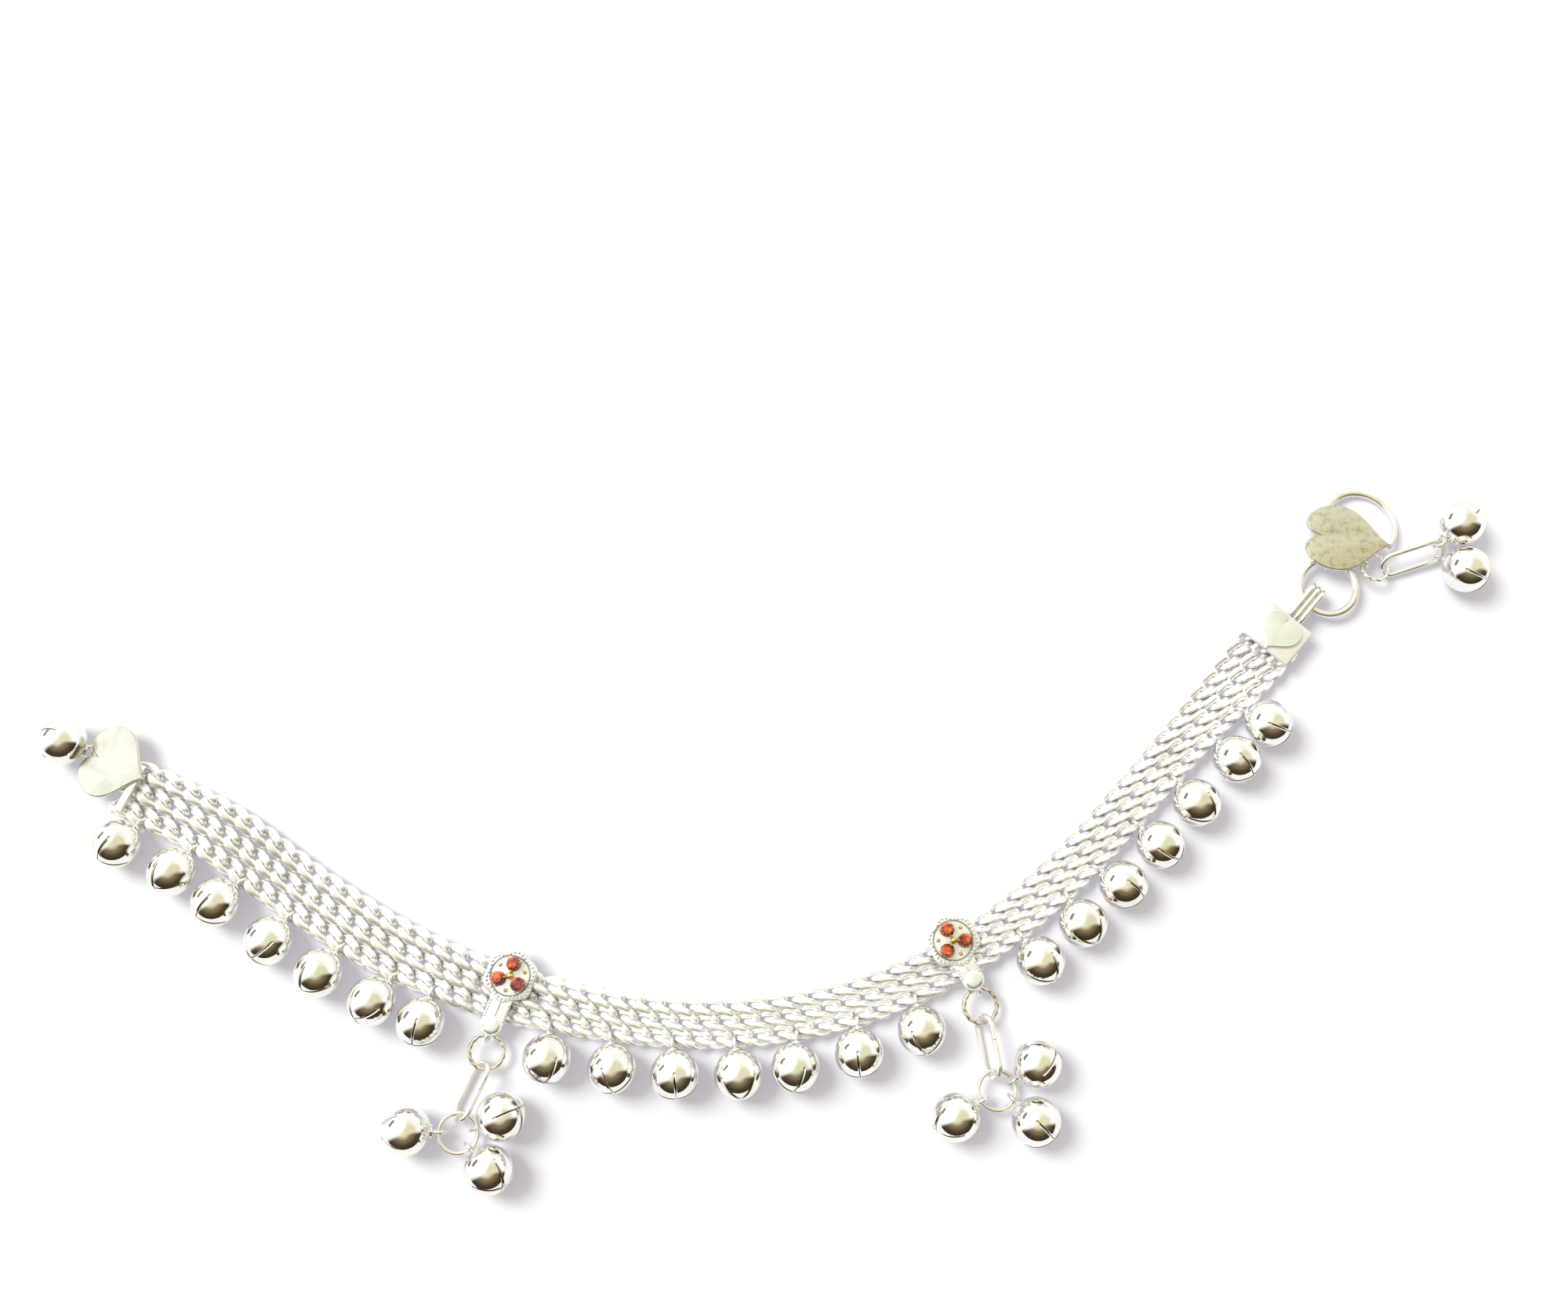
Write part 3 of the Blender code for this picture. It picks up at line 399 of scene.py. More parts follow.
def heart_outline(length, width, points=72):
    """The CAD's heart with its points evenly apart, so that its edge can be rounded."""
    raw = []
    for step in range(721):
        angle = 2 * math.pi * step / 720
        down = (13 * math.cos(angle) - 3 * math.cos(2 * angle) - 2 * math.cos(3 * angle)
                - math.cos(4 * angle))
        raw.append(Vector((-down, math.sin(angle) ** 3, 0)))
    tip, back = max(spot.x for spot in raw), min(spot.x for spot in raw)
    raw = [Vector(((spot.x - (tip + back) / 2) * length / (tip - back), spot.y * width / 2, 0))
           for spot in raw]
    lengths = running_lengths(raw)
    outline, index = [], 1
    for number in range(points):
        reach = lengths[-1] * number / points
        while lengths[index] < reach:
            index += 1
        mix = (reach - lengths[index - 1]) / (lengths[index] - lengths[index - 1])
        spot = raw[index - 1].lerp(raw[index], mix)
        outline.append((spot.x, spot.y))
    return outline


def round_path(radius):
    return lambda angle: Vector((radius * math.cos(angle), radius * math.sin(angle), 0.0))


def ring_form(radius, wire, steps=36, sides=12):
    return loop_form(round_path(radius), wire, steps, sides)


def even_turns(count):
    return [2 * math.pi * step / count for step in range(count)]


def oval_path(length, width):
    """Two half circles joined by straight sides, walked at an even pace."""
    straight, arc = length - width, math.pi * width / 2
    half = arc + straight

    def point(angle):
        at = (angle / math.pi * half + arc / 2) % (2 * half)
        side = 1 if at < half else -1
        at %= half
        if at > arc:
            return Vector((straight / 2 + arc - at, width / 2, 0)) * side
        turn = at * 2 / width - math.pi / 2
        return Vector((straight / 2 + width / 2 * math.cos(turn),
                       width / 2 * math.sin(turn), 0)) * side
    return point


def cad_oval(length, width):
    """The CAD's own walk round the same oval, which the bells' places are counted on."""
    def point(angle):
        end = math.copysign((length - width) / 2, math.cos(angle))
        return Vector((end + width / 2 * math.cos(angle), width / 2 * math.sin(angle), 0.0))
    return point


# ------------------------ materials

def nodes_of(name):
    """A new material, its node tree and its shader."""
    made = bpy.data.materials.new(name)
    made.use_nodes = True
    tree = made.node_tree
    return made, tree, tree.nodes["Principled BSDF"]


def add(tree, kind, **inputs):
    """A new node with these inputs or settings."""
    node = tree.nodes.new(kind)
    for key, value in inputs.items():
        if key in node.inputs.keys():
            node.inputs[key].default_value = value
        else:
            setattr(node, key, value)
    return node


def ramp(tree, source, stops):
    node = tree.nodes.new("ShaderNodeValToRGB")
    elements = node.color_ramp.elements
    while len(elements) < len(stops):
        elements.new(0.5)
    for element, (place, colour) in zip(elements, stops):
        element.position = place
        element.color = (*colour, 1.0)
    tree.links.new(source, node.inputs["Fac"])
    return node


def silver(name, bright, dull, rough, bump, grain=900.0, blotch=260.0, metal=1.0):
    """Silver: uneven tone, a little warm tarnish, fine wear in its gloss. Less metal is frosted."""
    made, tree, shader = nodes_of(name)
    links = tree.links
    shader.inputs["Metallic"].default_value = metal
    place = tree.nodes.new("ShaderNodeTexCoord")
    wide = add(tree, "ShaderNodeTexNoise", Scale=blotch, Detail=4.0, Roughness=0.6)
    fine = add(tree, "ShaderNodeTexNoise", Scale=grain, Detail=6.0, Roughness=0.65)
    links.new(place.outputs["Object"], wide.inputs["Vector"])
    links.new(place.outputs["Object"], fine.inputs["Vector"])
    tone = ramp(tree, wide.outputs["Fac"], [(0.30, dull), (0.52, bright), (1.0, bright)])
    links.new(tone.outputs["Color"], shader.inputs["Base Color"])
    low, high = rough
    gloss = add(tree, "ShaderNodeMapRange",
                **{"From Min": 0.3, "From Max": 0.7, "To Min": low, "To Max": high})
    links.new(fine.outputs["Fac"], gloss.inputs["Value"])
    links.new(gloss.outputs["Result"], shader.inputs["Roughness"])
    relief = add(tree, "ShaderNodeBump", Strength=bump, Distance=0.00004)
    links.new(wide.outputs["Fac"], relief.inputs["Height"])
    second = add(tree, "ShaderNodeBump", Strength=bump * 0.5, Distance=0.000012)
    links.new(fine.outputs["Fac"], second.inputs["Height"])
    links.new(relief.outputs["Normal"], second.inputs["Normal"])
    links.new(second.outputs["Normal"], shader.inputs["Normal"])
    return made


def stone_look(name):
    """Orange-red cut glass, very smooth, glossy. Its deeper and lighter zones, at random places,
    are painted shade and painted glints of light inside the glass.
    """
    made, tree, shader = nodes_of(name)
    place = tree.nodes.new("ShaderNodeTexCoord")
    cloud = add(tree, "ShaderNodeTexNoise", Scale=900.0, Detail=3.0, Roughness=0.55)
    tree.links.new(place.outputs["Object"], cloud.inputs["Vector"])
    # Painted shade and painted glints: near black to orange at random places over the glass's own
    # red
    tone = ramp(tree, cloud.outputs["Fac"], [
        (0.34, (0.035, 0.003, 0.001)), (0.48, (0.200, 0.014, 0.004)), (0.64, (0.62, 0.110, 0.016))])
    tree.links.new(tone.outputs["Color"], shader.inputs["Base Color"])
    gloss = ramp(tree, cloud.outputs["Fac"], [(0.2, (0.05,) * 3), (0.9, (0.16,) * 3)])
    tree.links.new(gloss.outputs["Color"], shader.inputs["Roughness"])
    shader.inputs["IOR"].default_value = 1.7
    shader.inputs["Coat Weight"].default_value = 0.6
    shader.inputs["Coat Roughness"].default_value = 0.05
    relief = add(tree, "ShaderNodeBump", Strength=0.05, Distance=0.00002)
    tree.links.new(cloud.outputs["Fac"], relief.inputs["Height"])
    tree.links.new(relief.outputs["Normal"], shader.inputs["Normal"])
    return made


CHAIN = silver("chain_silver_look", (0.94, 0.94, 0.93), (0.84, 0.83, 0.80), (0.12, 0.30), 0.25,
               metal=0.74)
BELL = silver("bell_silver_look", (0.94, 0.93, 0.89), (0.86, 0.84, 0.76), (0.05, 0.13), 0.10)
# Painted shade: a dark brown silver for the inside of the hollow ball, the walls of its slits and
# the pellet
INSIDE_PAINTED_SHADE = silver("bell_inside_painted_shade_look", (0.34, 0.29, 0.22), (0.16, 0.13, 0.09), (0.35, 0.55), 0.4)
WIRE = silver("wire_silver_look", (0.92, 0.91, 0.86), (0.78, 0.74, 0.64), (0.10, 0.24), 0.18,
              metal=0.9)
SATIN = silver("satin_plate_look", (0.74, 0.74, 0.65), (0.60, 0.60, 0.50), (0.12, 0.24), 0.30,
               1500.0)
PALE = silver("pale_heart_look", (0.90, 0.94, 0.95), (0.80, 0.84, 0.83), (0.20, 0.34), 0.30,
              1500.0, metal=0.88)
DULL = silver("clasp_plate_look", (0.70, 0.69, 0.55), (0.46, 0.45, 0.34), (0.16, 0.34), 0.75,
              3000.0, 1300.0)
WHITE = silver("white_plate_look", (0.86, 0.86, 0.86), (0.72, 0.74, 0.72), (0.25, 0.40), 0.30,
               1500.0, metal=0.75)
STATION = silver("station_look", (0.86, 0.88, 0.88), (0.66, 0.71, 0.72), (0.12, 0.28), 0.22,
                 metal=0.82)
EDGE = silver("station_edge_look", (0.46, 0.52, 0.53), (0.28, 0.33, 0.34), (0.20, 0.40), 0.30)
TWIST = silver("twist_ring_look", (0.86, 0.80, 0.68), (0.58, 0.50, 0.38), (0.14, 0.30), 0.25)
GOLD = silver("bead_gold_look", (0.98, 0.72, 0.34), (0.85, 0.50, 0.18), (0.10, 0.22), 0.15)
# The stones' dark and orange zones are painted shade and painted glints
RED = stone_look("stone_red_painted_glint_look")


# ------------------------ pieces

def piece(name, shape, looks, nodes, smooth_angle=38):
    """A finished piece of the anklet, which takes the place of its CAD nodes."""
    placed(linked(name, mesh_of(name, shape, looks, smooth_angle)), nodes)


def placed(made, nodes):
    made.matrix_world = ROOT
    bpy.context.view_layer.update()
    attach(made, "root")
    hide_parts(*nodes)


def plain_mesh(name, shape, looks):
    mesh = bpy.data.meshes.new(name)
    mesh.from_pydata([tuple(point) for point in shape.points], [], shape.faces)
    for look in looks:
        mesh.materials.append(look)
    mesh.polygons.foreach_set("material_index", shape.looks)
    return mesh


def mesh_of(name, shape, looks, smooth_angle=38):
    """A mesh that is smooth but for the edges sharper than the angle."""
    mesh = plain_mesh(name, shape, looks)
    work = bmesh.new()
    work.from_mesh(mesh)
    bmesh.ops.remove_doubles(work, verts=work.verts, dist=1e-7)
    bmesh.ops.recalc_face_normals(work, faces=work.faces)
    for face in work.faces:
        face.smooth = True
    limit = math.radians(smooth_angle)
    for edge in work.edges:
        edge.smooth = len(edge.link_faces) == 2 and edge.calc_face_angle(0.0) < limit
    work.to_mesh(mesh)
    work.free()
    mesh.update()
    return mesh


def chain_piece(name, row, node):
    """Every curb link of one chain, each twisted and passed through its neighbours."""
    across = (CURB_WIDTH - CURB_WIRE) / 2
    along = (row.link_pitch() + CURB_WIRE) / 2
    rise = across * CURB_RISE

    def path(turn):
        return Vector((along * math.cos(turn), across * math.sin(turn), rise * math.sin(2 * turn)))

    link = loop_form(path, CURB_WIRE, 40, 14, flat=CURB_FLAT)
    shape = Shape()
    lift = Matrix.Translation((0, 0, rise + CURB_WIRE * CURB_FLAT / 2 - STRAND / 2 - LINK_WIRE / 2))
    for index in range(row.link_count()):
        shape.add(link, lift @ row.link(index))
    piece(name, shape, [CHAIN], [node])


def hollow_ball(slit_turn):
    """The bell's hollow ball, with two crossing slits, each in a rounded groove."""
    profile = [(0.0, BELL_R + NECK_RISE - 0.0002)]
    for angle in range(80, -90, -4):
        turn = math.radians(angle)
        seam = SEAM_SWELL * math.exp(-(angle / SEAM_SPREAD) ** 2)
        profile.append(((BELL_R - SEAM_SWELL + seam) * math.cos(turn), BELL_R * math.sin(turn)))
    profile.append((0.0, -BELL_R))
    inner_r = BELL_R - BELL_WALL
    inside = [(0.0, inner_r)]
    for angle in range(82, -90, -8):
        turn = math.radians(angle)
        inside.append((inner_r * math.cos(turn), inner_r * math.sin(turn)))
    inside.append((0.0, -inner_r))
    points, faces = turned_form(inside, 40)
    shell = Shape().add(turned_form(profile, 56))
    # The inside of the shell takes look 1, the painted shade
    shell.add((points, [tuple(reversed(face)) for face in faces]), None, 1)
    ball = linked("ball", plain_mesh("ball", shell, [BELL, INSIDE_PAINTED_SHADE]))

    turns = [math.radians(angle) for angle in range(-18, -163, -6)]
    groove = [(GROOVE_R * math.cos(turn), 0, GROOVE_R * math.sin(turn)) for turn in turns]
    groove_form = tube_form(groove, [GROOVE_WIDTH] * len(groove), 18)
    slit_form = box_form((2.2 * BELL_R, SLIT_WIDTH, SLIT_HEIGHT),
                         (0, 0, -SLIT_HEIGHT / 2 - SLIT_DROP), SLIT_EDGE)
    cutters = []
    for turn in (slit_turn, slit_turn + math.pi / 2):
        # The slit cutters give the slit walls the painted shade
        for form, look in ((groove_form, BELL), (slit_form, INSIDE_PAINTED_SHADE)):
            cutter = linked("cutter", plain_mesh("cutter", Shape().add(form), [look]))
            cutter.data.shade_smooth()
            cutter.matrix_world = Matrix.Rotation(turn, 4, "Z")
            cutters.append(cutter)
    for cutter in cutters:
        cut = ball.modifiers.new("slit", "BOOLEAN")
        cut.operation, cut.solver, cut.object = "DIFFERENCE", "EXACT", cutter
    made = form_of(ball)
    for cutter in cutters:
        bpy.data.objects.remove(cutter)
    return made


def bell_mesh(number, slit_turn):
    """Ball, pellet, stepped neck and soldered loop. Z leads from the ball to the loop."""
    form, looks = hollow_ball(slit_turn)
    shape = Shape().add(form)
    shape.looks[:] = looks
    neck = [(0.0, BELL_R + NECK_RISE), (NECK_R * 0.72, BELL_R + NECK_RISE),
            (NECK_R * 0.98, BELL_R + NECK_RISE * 0.4), (NECK_R * 1.02, BELL_R - 0.00006),
            (NECK_R * 0.94, BELL_R - 0.00013), (NECK_R * 1.16, BELL_R - 0.00018),
            (NECK_R * 1.24, BELL_R - 0.00026), (NECK_R * 1.2, BELL_R - 0.00036),
            (0.0, BELL_R - 0.0006)]
    shape.add(turned_form(neck, 32))
    shape.add(ring_form(LOOP_R, LOOP_WIRE, 32), axes((0, 0, LOOP_REACH), (0, 0, 1), (1, 0, 0)))
    for side in (-1, 1):
        spot = (0, side * NECK_SOLDER_SIDE, BELL_R + NECK_RISE * 0.6)
        shape.add(ball_form(NECK_SOLDER_R, spot, 12))
    # The pellet takes the painted shade as well
    shape.add(ball_form(PELLET_R, PELLET_PLACE, 20), None, 1)
    return mesh_of(f"bell_{number}", shape, [BELL, INSIDE_PAINTED_SHADE], 34)


SLIT_TURNS = (90, 66, 45, 118)
BELL_MESHES = [bell_mesh(number, math.radians(turn)) for number, turn in enumerate(SLIT_TURNS)]
# Which of them each bell takes, in the order in which the bells are made
bell_order = iter((0, 1, 0, 3, 1, 2, 0, 3, 1, 0, 2, 3, 0, 1, 3,
                   2, 0, 1, 3, 0, 1, 2, 0, 3, 1, 0, 2, 1, 3, 0))


def add_bell(node, thread, wire_run, angle):
    """A bell that lies on the floor, with its loop around the wire at the thread point."""
    rise = math.asin((BELL_R - thread.z) / LOOP_REACH)
    to_ball = heading(angle) * math.cos(rise) + Vector((0, 0, math.sin(rise)))
    across = wire_run - to_ball * wire_run.dot(to_ball)
    lie = axes(thread + to_ball * LOOP_REACH, across, -to_ball)
    if lie.col[1].z > 0:
        lie = lie @ Matrix.Rotation(math.pi, 4, "Z")
    mesh = BELL_MESHES[next(bell_order)].copy()
    mesh.transform(lie)
    for vertex in mesh.vertices:
        vertex.co.z = max(vertex.co.z, -SHIFT.z)  # a loop that touches the floor is worn flat
    placed(linked(f"round_{node}", mesh), [node])


def hung(path_reach, near, angle, roll, far_height=DROP_HEIGHT):
    """Frame of a ring or link whose near end is here and whose far end has this height."""
    rise = math.asin((far_height - near.z) / (2 * path_reach))
    run = heading(angle) * math.cos(rise) + Vector((0, 0, math.sin(rise)))
    return axes(near + run * path_reach, run, (0, 0, 1)) @ Matrix.Rotation(roll, 4, "X")


def inside(lie, reach, wire, next_wire, turn=0.0):
    """Place inside a ring or link where the next one's wire bears."""
    return lie @ (heading(turn) * (reach - (wire + next_wire) / 2 - THREAD_GAP))


def bell_on(node, lie, path, turn, angle):
    """A bell on a ring or link, at this place of its path."""
    run = (path(turn + 0.01) - path(turn - 0.01)).normalized()
    add_bell(node, lie @ path(turn), lie.to_3x3() @ run, angle)


def wire_piece(name, node, form, lie, look=WIRE, more=()):
    """A ring or link, with its solder spot among what more there is."""
    shape = Shape().add(form, lie)
    for extra in more:
        shape.add(extra, lie)
    piece(name, shape, [look], [node])


def solder(path, angle, wire):
    """The small swell where a ring's wire was soldered shut."""
    return ball_form(wire * SOLDER_SHARE, path(angle), 14)


# Stone stations

def brilliant_form():
    """A round cut stone: table, star, crown and girdle facets, pavilion cut flat at its back."""
    rings = [(0.56, 1.00, 0.5), (0.80, 0.80, 0.0), (0.99, 0.52, 0.5), (1.0, 0.44, 0.5),
             (0.58, 0.0, 0.0)]
    points = []
    for radius, height, shift in rings:
        for number in range(10):
            turn = 2 * math.pi * (number + shift) / 10
            points.append(Vector((STONE_R * radius * math.cos(turn),
                                  STONE_R * radius * math.sin(turn), STONE_H * height)))
    faces = [tuple(range(10)), tuple(reversed(range(40, 50)))]
    for n in range(10):
        after, before = (n + 1) % 10, (n - 1) % 10
        faces += [(n, 10 + after, after), (n, before, 10 + n), (n, 10 + n, 20 + n),
                  (n, 20 + n, 10 + after), (10 + n, 20 + before, 20 + n),
                  (20 + n, 30 + n, 30 + after, 20 + after), (30 + n, 40 + n, 40 + after),
                  (30 + n, 40 + after, 30 + after)]
    return points, faces


def add_head(shape, floor, top):
    """Scalloped head plate with a beaded rim and a thin raised line inside it."""
    def rim(inset, turn):
        radius = HEAD_R - inset + SCALLOP * math.cos(SCALLOPS * turn)
        return radius * math.cos(turn), radius * math.sin(turn)

    outline = [rim(0, turn) for turn in even_turns(96)]
    shape.add(plate_form(outline, HEAD_THICK, HEAD_EDGE), Matrix.Translation((0, 0, floor)))
    for turn in even_turns(RIM_BEADS):
        shape.add(ball_form(RIM_BEAD_R, (*rim(RIM_INSET, turn), top), 10))
    shape.add(ring_form(RIM_LINE_R, RIM_LINE_WIRE, 64, 10), Matrix.Translation((0, 0, top)), 2)


def add_strap(shape, tail, base):
    """Strap from the head past the eye, with milled edges, a disc and a ridge."""
    length, half, top = tail + TAIL_PAST_EYE, TAIL_WIDTH / 2, base + TAIL_THICK
    outline = [(STRAP_START, -half), (length - STRAP_TURN, -half)]
    for step in range(-8, 9):
        turn = math.radians(step * 90 / 8)
        outline.append((length - half + half * math.cos(turn), half * math.sin(turn)))
    outline += [(length - STRAP_TURN, half), (STRAP_START, half)]
    shape.add(plate_form(outline, TAIL_THICK, STRAP_EDGE), Matrix.Translation((0, 0, base)))
    for step in range(int((length - HEAD_R - MILL_END) / MILL_STEP)):
        for edge in (-1, 1):
            spot = (HEAD_R + MILL_START + step * MILL_STEP, edge * (half - MILL_INSET), top)
            shape.add(ball_form(MILL_R, spot, 8))
    shape.add(turned_form(DISC, 32), Matrix.Translation((length - half, 0, top - DISC_SINK)))
    ridge = [(HEAD_R + RIDGE_START, 0, top + RIDGE_RISE), (length - RIDGE_END, 0, top)]
    shape.add(tube_form(ridge, RIDGE_WIDTHS, 12))


def add_settings(shape, spots, turns, centre, back, top):
    """Seats, claws and gold beads of the stones. Back leads from the world to the shape."""
    for spot, out in zip(spots, turns):
        seat = back @ Vector((spot.x, spot.y, top))
        shape.add(ring_form(STONE_R * SEAT_SHARE, SEAT_WIRE, 32, 8),
                  Matrix.Translation((seat.x, seat.y, top + SEAT_RISE)), 1)
        for claw in range(3):
            way = heading(out + math.radians(60 + 120 * claw))
            line = [back @ (spot + way * reach + Vector((0, 0, top + rise))) for reach, rise in (
                (STONE_R + CLAW_GAP, CLAW_FOOT), (STONE_R + CLAW_GAP, CLAW_KNEE),
                (STONE_R * CLAW_TIP_SHARE, CLAW_TIP))]
            shape.add(tube_form(line, CLAW_WIRES, 10), None, 1)
    shape.add(ball_form(GOLD_BEAD_R, (0, 0, top + GOLD_BEAD_RISE), 20), None, 1)
    for out in turns:
        spot = back @ (centre + heading(out + math.radians(60)) * GOLD_DOT_RING)
        shape.add(ball_form(GOLD_DOT_R, (spot.x, spot.y, top + SEAT_RISE), 14), None, 1)


def add_station(plan):
    """Head, strap, prongs round the band, eye and stones. Returns the eye's middle."""
    side, share = plan["name"], plan["share"]
    row = ROWS[0]
    along = row.length * share
    place, run, _ = row.at(along)
    steepest = max(row.at(along + step)[2] for step in (-HEAD_R, 0, HEAD_R))
    floor = FLOOR_GAP + 2 * half_height(steepest) + HEAD_OVER
    top, middle = floor + HEAD_THICK, floor + HEAD_THICK / 2
    angle = math.radians(plan["tail_heading"])
    centre = Vector((place.x, place.y, 0))
    lie = axes(centre, heading(angle), (0, 0, 1))
    shape = Shape()
    add_head(shape, floor, top)
    add_strap(shape, plan["tail"], middle - TAIL_THICK / 2)

    slant = abs(math.cos(angle - math.atan2(run.y, run.x) + math.pi / 2))
    edge = LINK_WIDTH / 2 + PRONG_GAP + PRONG_THICK / 2
    height = middle - PRONG_FLOOR
    for reach in (-edge / slant, (edge + 2 * between(BAND_LAY, share, 1)) / slant):
        shape.add(box_form((PRONG_THICK, PRONG_WIDTH, height),
                           (reach, 0, PRONG_FLOOR + height / 2), PRONG_EDGE))
    eye = Vector((plan["tail"], 0, middle - EYE_R))
    shape.add(ring_form(EYE_R, EYE_WIRE), axes(eye, (1, 0, 0), (0, 1, 0)))

    turns = [math.radians(plan["stone_turn"] + 120 * number) for number in range(3)]
    spots = [centre + heading(out) * STONE_RING_R for out in turns]
    add_settings(shape, spots, turns, centre, lie.inverted(), top)
    shape.points = [lie @ Vector(point) for point in shape.points]
    piece(f"set_station_{side}", shape, [STATION, GOLD, EDGE], [f"station_{side}"])

    for number, (spot, out) in enumerate(zip(spots, turns), start=1):
        seat = Vector((spot.x, spot.y, top + STONE_GAP))
        stone = Shape().add(brilliant_form(), axes(seat, heading(out), (0, 0, 1)))
        piece(f"cut_stone_{side}_{number}", stone, [RED], [f"stone_{side}_{number}"],
              5)
    return lie @ eye


def add_drop(plan, eye):
    """Twisted ring in the eye, long link, junction ring and its three bells."""
    side = plan["name"]
    ring = hung(RING_R, eye, *map(math.radians, plan["ring"]))
    wire_piece(f"twist_ring_{side}", f"station_ring_{side}",
               loop_form(round_path(RING_R), RING_WIRE, 120, 14, 14, 0.22), ring, TWIST)
    near = inside(ring, RING_R, RING_WIRE, LONG_WIRE)
    reach = (LONG_LINK - LONG_WIRE) / 2
    path = oval_path(LONG_LINK - LONG_WIRE, LONG_WIDTH - LONG_WIRE)
    link = hung(reach, near, *map(math.radians, plan["link"]))
    wire_piece(f"oval_link_{side}", f"long_link_{side}", loop_form(path, LONG_WIRE, 72, 14), link,
               more=[solder(path, math.pi * 0.6, LONG_WIRE)])
    near = inside(link, reach, LONG_WIRE, JUNCTION_WIRE)
    junction = hung(JUNCTION_R, near, *map(math.radians, plan["junction"]))
    path = round_path(JUNCTION_R)
    wire_piece(f"round_junction_{side}", f"junction_ring_{side}",
               loop_form(path, JUNCTION_WIRE, 64, 14), junction,
               more=[solder(path, 2.9, JUNCTION_WIRE)])
    for number, (turn, angle) in enumerate(plan["bells"], start=1):
        bell_on(f"bell_cluster_{side}_{number}", junction, path,
                math.radians(turn), math.radians(angle))


# Ends of the band

END_TOP = STRIP_THICK + BAR_GAP + 2 * half_height(0.0)
BAR_FLOOR = END_TOP + BAR_GAP


def end_lie(row_end):
    """Frame of the band's left end (0) or right end (1), with X away from the band."""
    place, run, _ = ROWS[1].at(row_end * ROWS[1].length)
    away = run if row_end else -run
    return axes((place.x, place.y, 0), (away.x, away.y, 0), (0, 0, 1))


def add_pins(shape, lie, row_end):
    """Pins through the end links and the strip below them. Returns the strip's length."""
    spots = [lie.inverted() @ row.at(row_end * row.length)[0] for row in ROWS]
    for spot in spots:
        line = [(spot.x, spot.y, STRIP_THICK / 2), (spot.x, spot.y, BAR_FLOOR + BAR_THICK / 2)]
        shape.add(tube_form(line, (PIN_WIRE, PIN_WIRE), 16), lie)
    span = max(s.y for s in spots) - min(s.y for s in spots) + 2 * BAR_OVERHANG
    shape.add(box_form((BAR_WIDTH, span, STRIP_THICK), (0, 0, STRIP_THICK / 2), STRIP_EDGE), lie)
    return span


def add_end_heart():
    """Left end: pins, strip, bar, bare heart plate, eye, and its bell."""
    lie = end_lie(0)
    shape = Shape()
    span = add_pins(shape, lie, 0)
    shape.add(box_form((BAR_WIDTH, span, BAR_THICK), (0, 0, BAR_FLOOR + BAR_THICK / 2), BAR_EDGE),
              lie)
    rest = (0, 0, BAR_FLOOR + BAR_THICK - HEART_SINK)
    tilt = lie @ Matrix.Translation(rest) @ Matrix.Rotation(HEART_TILT, 4, "Y")
    outline = [(HEART_L / 2 - HEART_TIP - x, y - HEART_SIDE)
               for x, y in heart_outline(HEART_L, HEART_W)]
    shape.add(plate_form(outline, HEART_THICK, PLATE_EDGE), tilt, 1)
    place = Vector((END_EYE, -HEART_SIDE, END_EYE_HEIGHT))
    shape.add(ring_form(EYE_R, EYE_WIRE), lie @ axes(place, (1, 0, 0), (0, 1, 0)))
    piece("heart_end", shape, [WIRE, SATIN], ["end_heart"])
    rise = math.asin((BELL_R - END_EYE_HEIGHT) / (EYE_R + LOOP_REACH))
    hold = place + Vector((math.cos(rise), 0, math.sin(rise))) * EYE_R
    add_bell("bell_end", lie @ hold, Vector((0, 0, 1)), END_BELL_HEADING)


def add_end_cap():
    """Right end: pins, strip, cap plate, small bare heart, and a bail of three wires."""
    lie = end_lie(1)
    shape = Shape()
    add_pins(shape, lie, 1)
    middle = CAP_L / 2 - CAP_OVER
    shape.add(box_form((CAP_L, CAP_W, CAP_THICK), (middle, 0, BAR_FLOOR + CAP_THICK / 2), CAP_EDGE),
              lie, 2)
    outline = [(CAP_HEART_PLACE - x, y) for x, y in heart_outline(CAP_HEART_L, CAP_HEART_W)]
    shape.add(plate_form(outline, CAP_HEART_THICK + HEART_SINK, CAP_HEART_EDGE),
              lie @ Matrix.Translation((0, 0, BAR_FLOOR + CAP_THICK - HEART_SINK)), 1)
    centre = Vector((middle + CAP_L / 2 - BAIL_OVERLAP + BAIL_L / 2, BAIL_SIDE,
                     BAIL_FLOOR + BAIL_H / 2))
    path = oval_path(BAIL_L - BAIL_THICK, BAIL_H - BAIL_THICK)
    for step in (-1, 0, 1):
        spot = centre + Vector((0, step * BAIL_THICK, 0))
        shape.add(loop_form(path, BAIL_THICK, 72, 14), lie @ axes(spot, (1, 0, 0), (0, -1, 0)))
    piece("capped_end", shape, [WIRE, PALE, WHITE], ["end_cap"])


# Clasp

def add_jump_ring():
    lie = Matrix.Translation((*JUMP_PLACE, JUMP_HEIGHT))
    wire_piece("round_jump_ring", "jump_ring", ring_form(JUMP_R, JUMP_WIRE, 80, 16), lie)


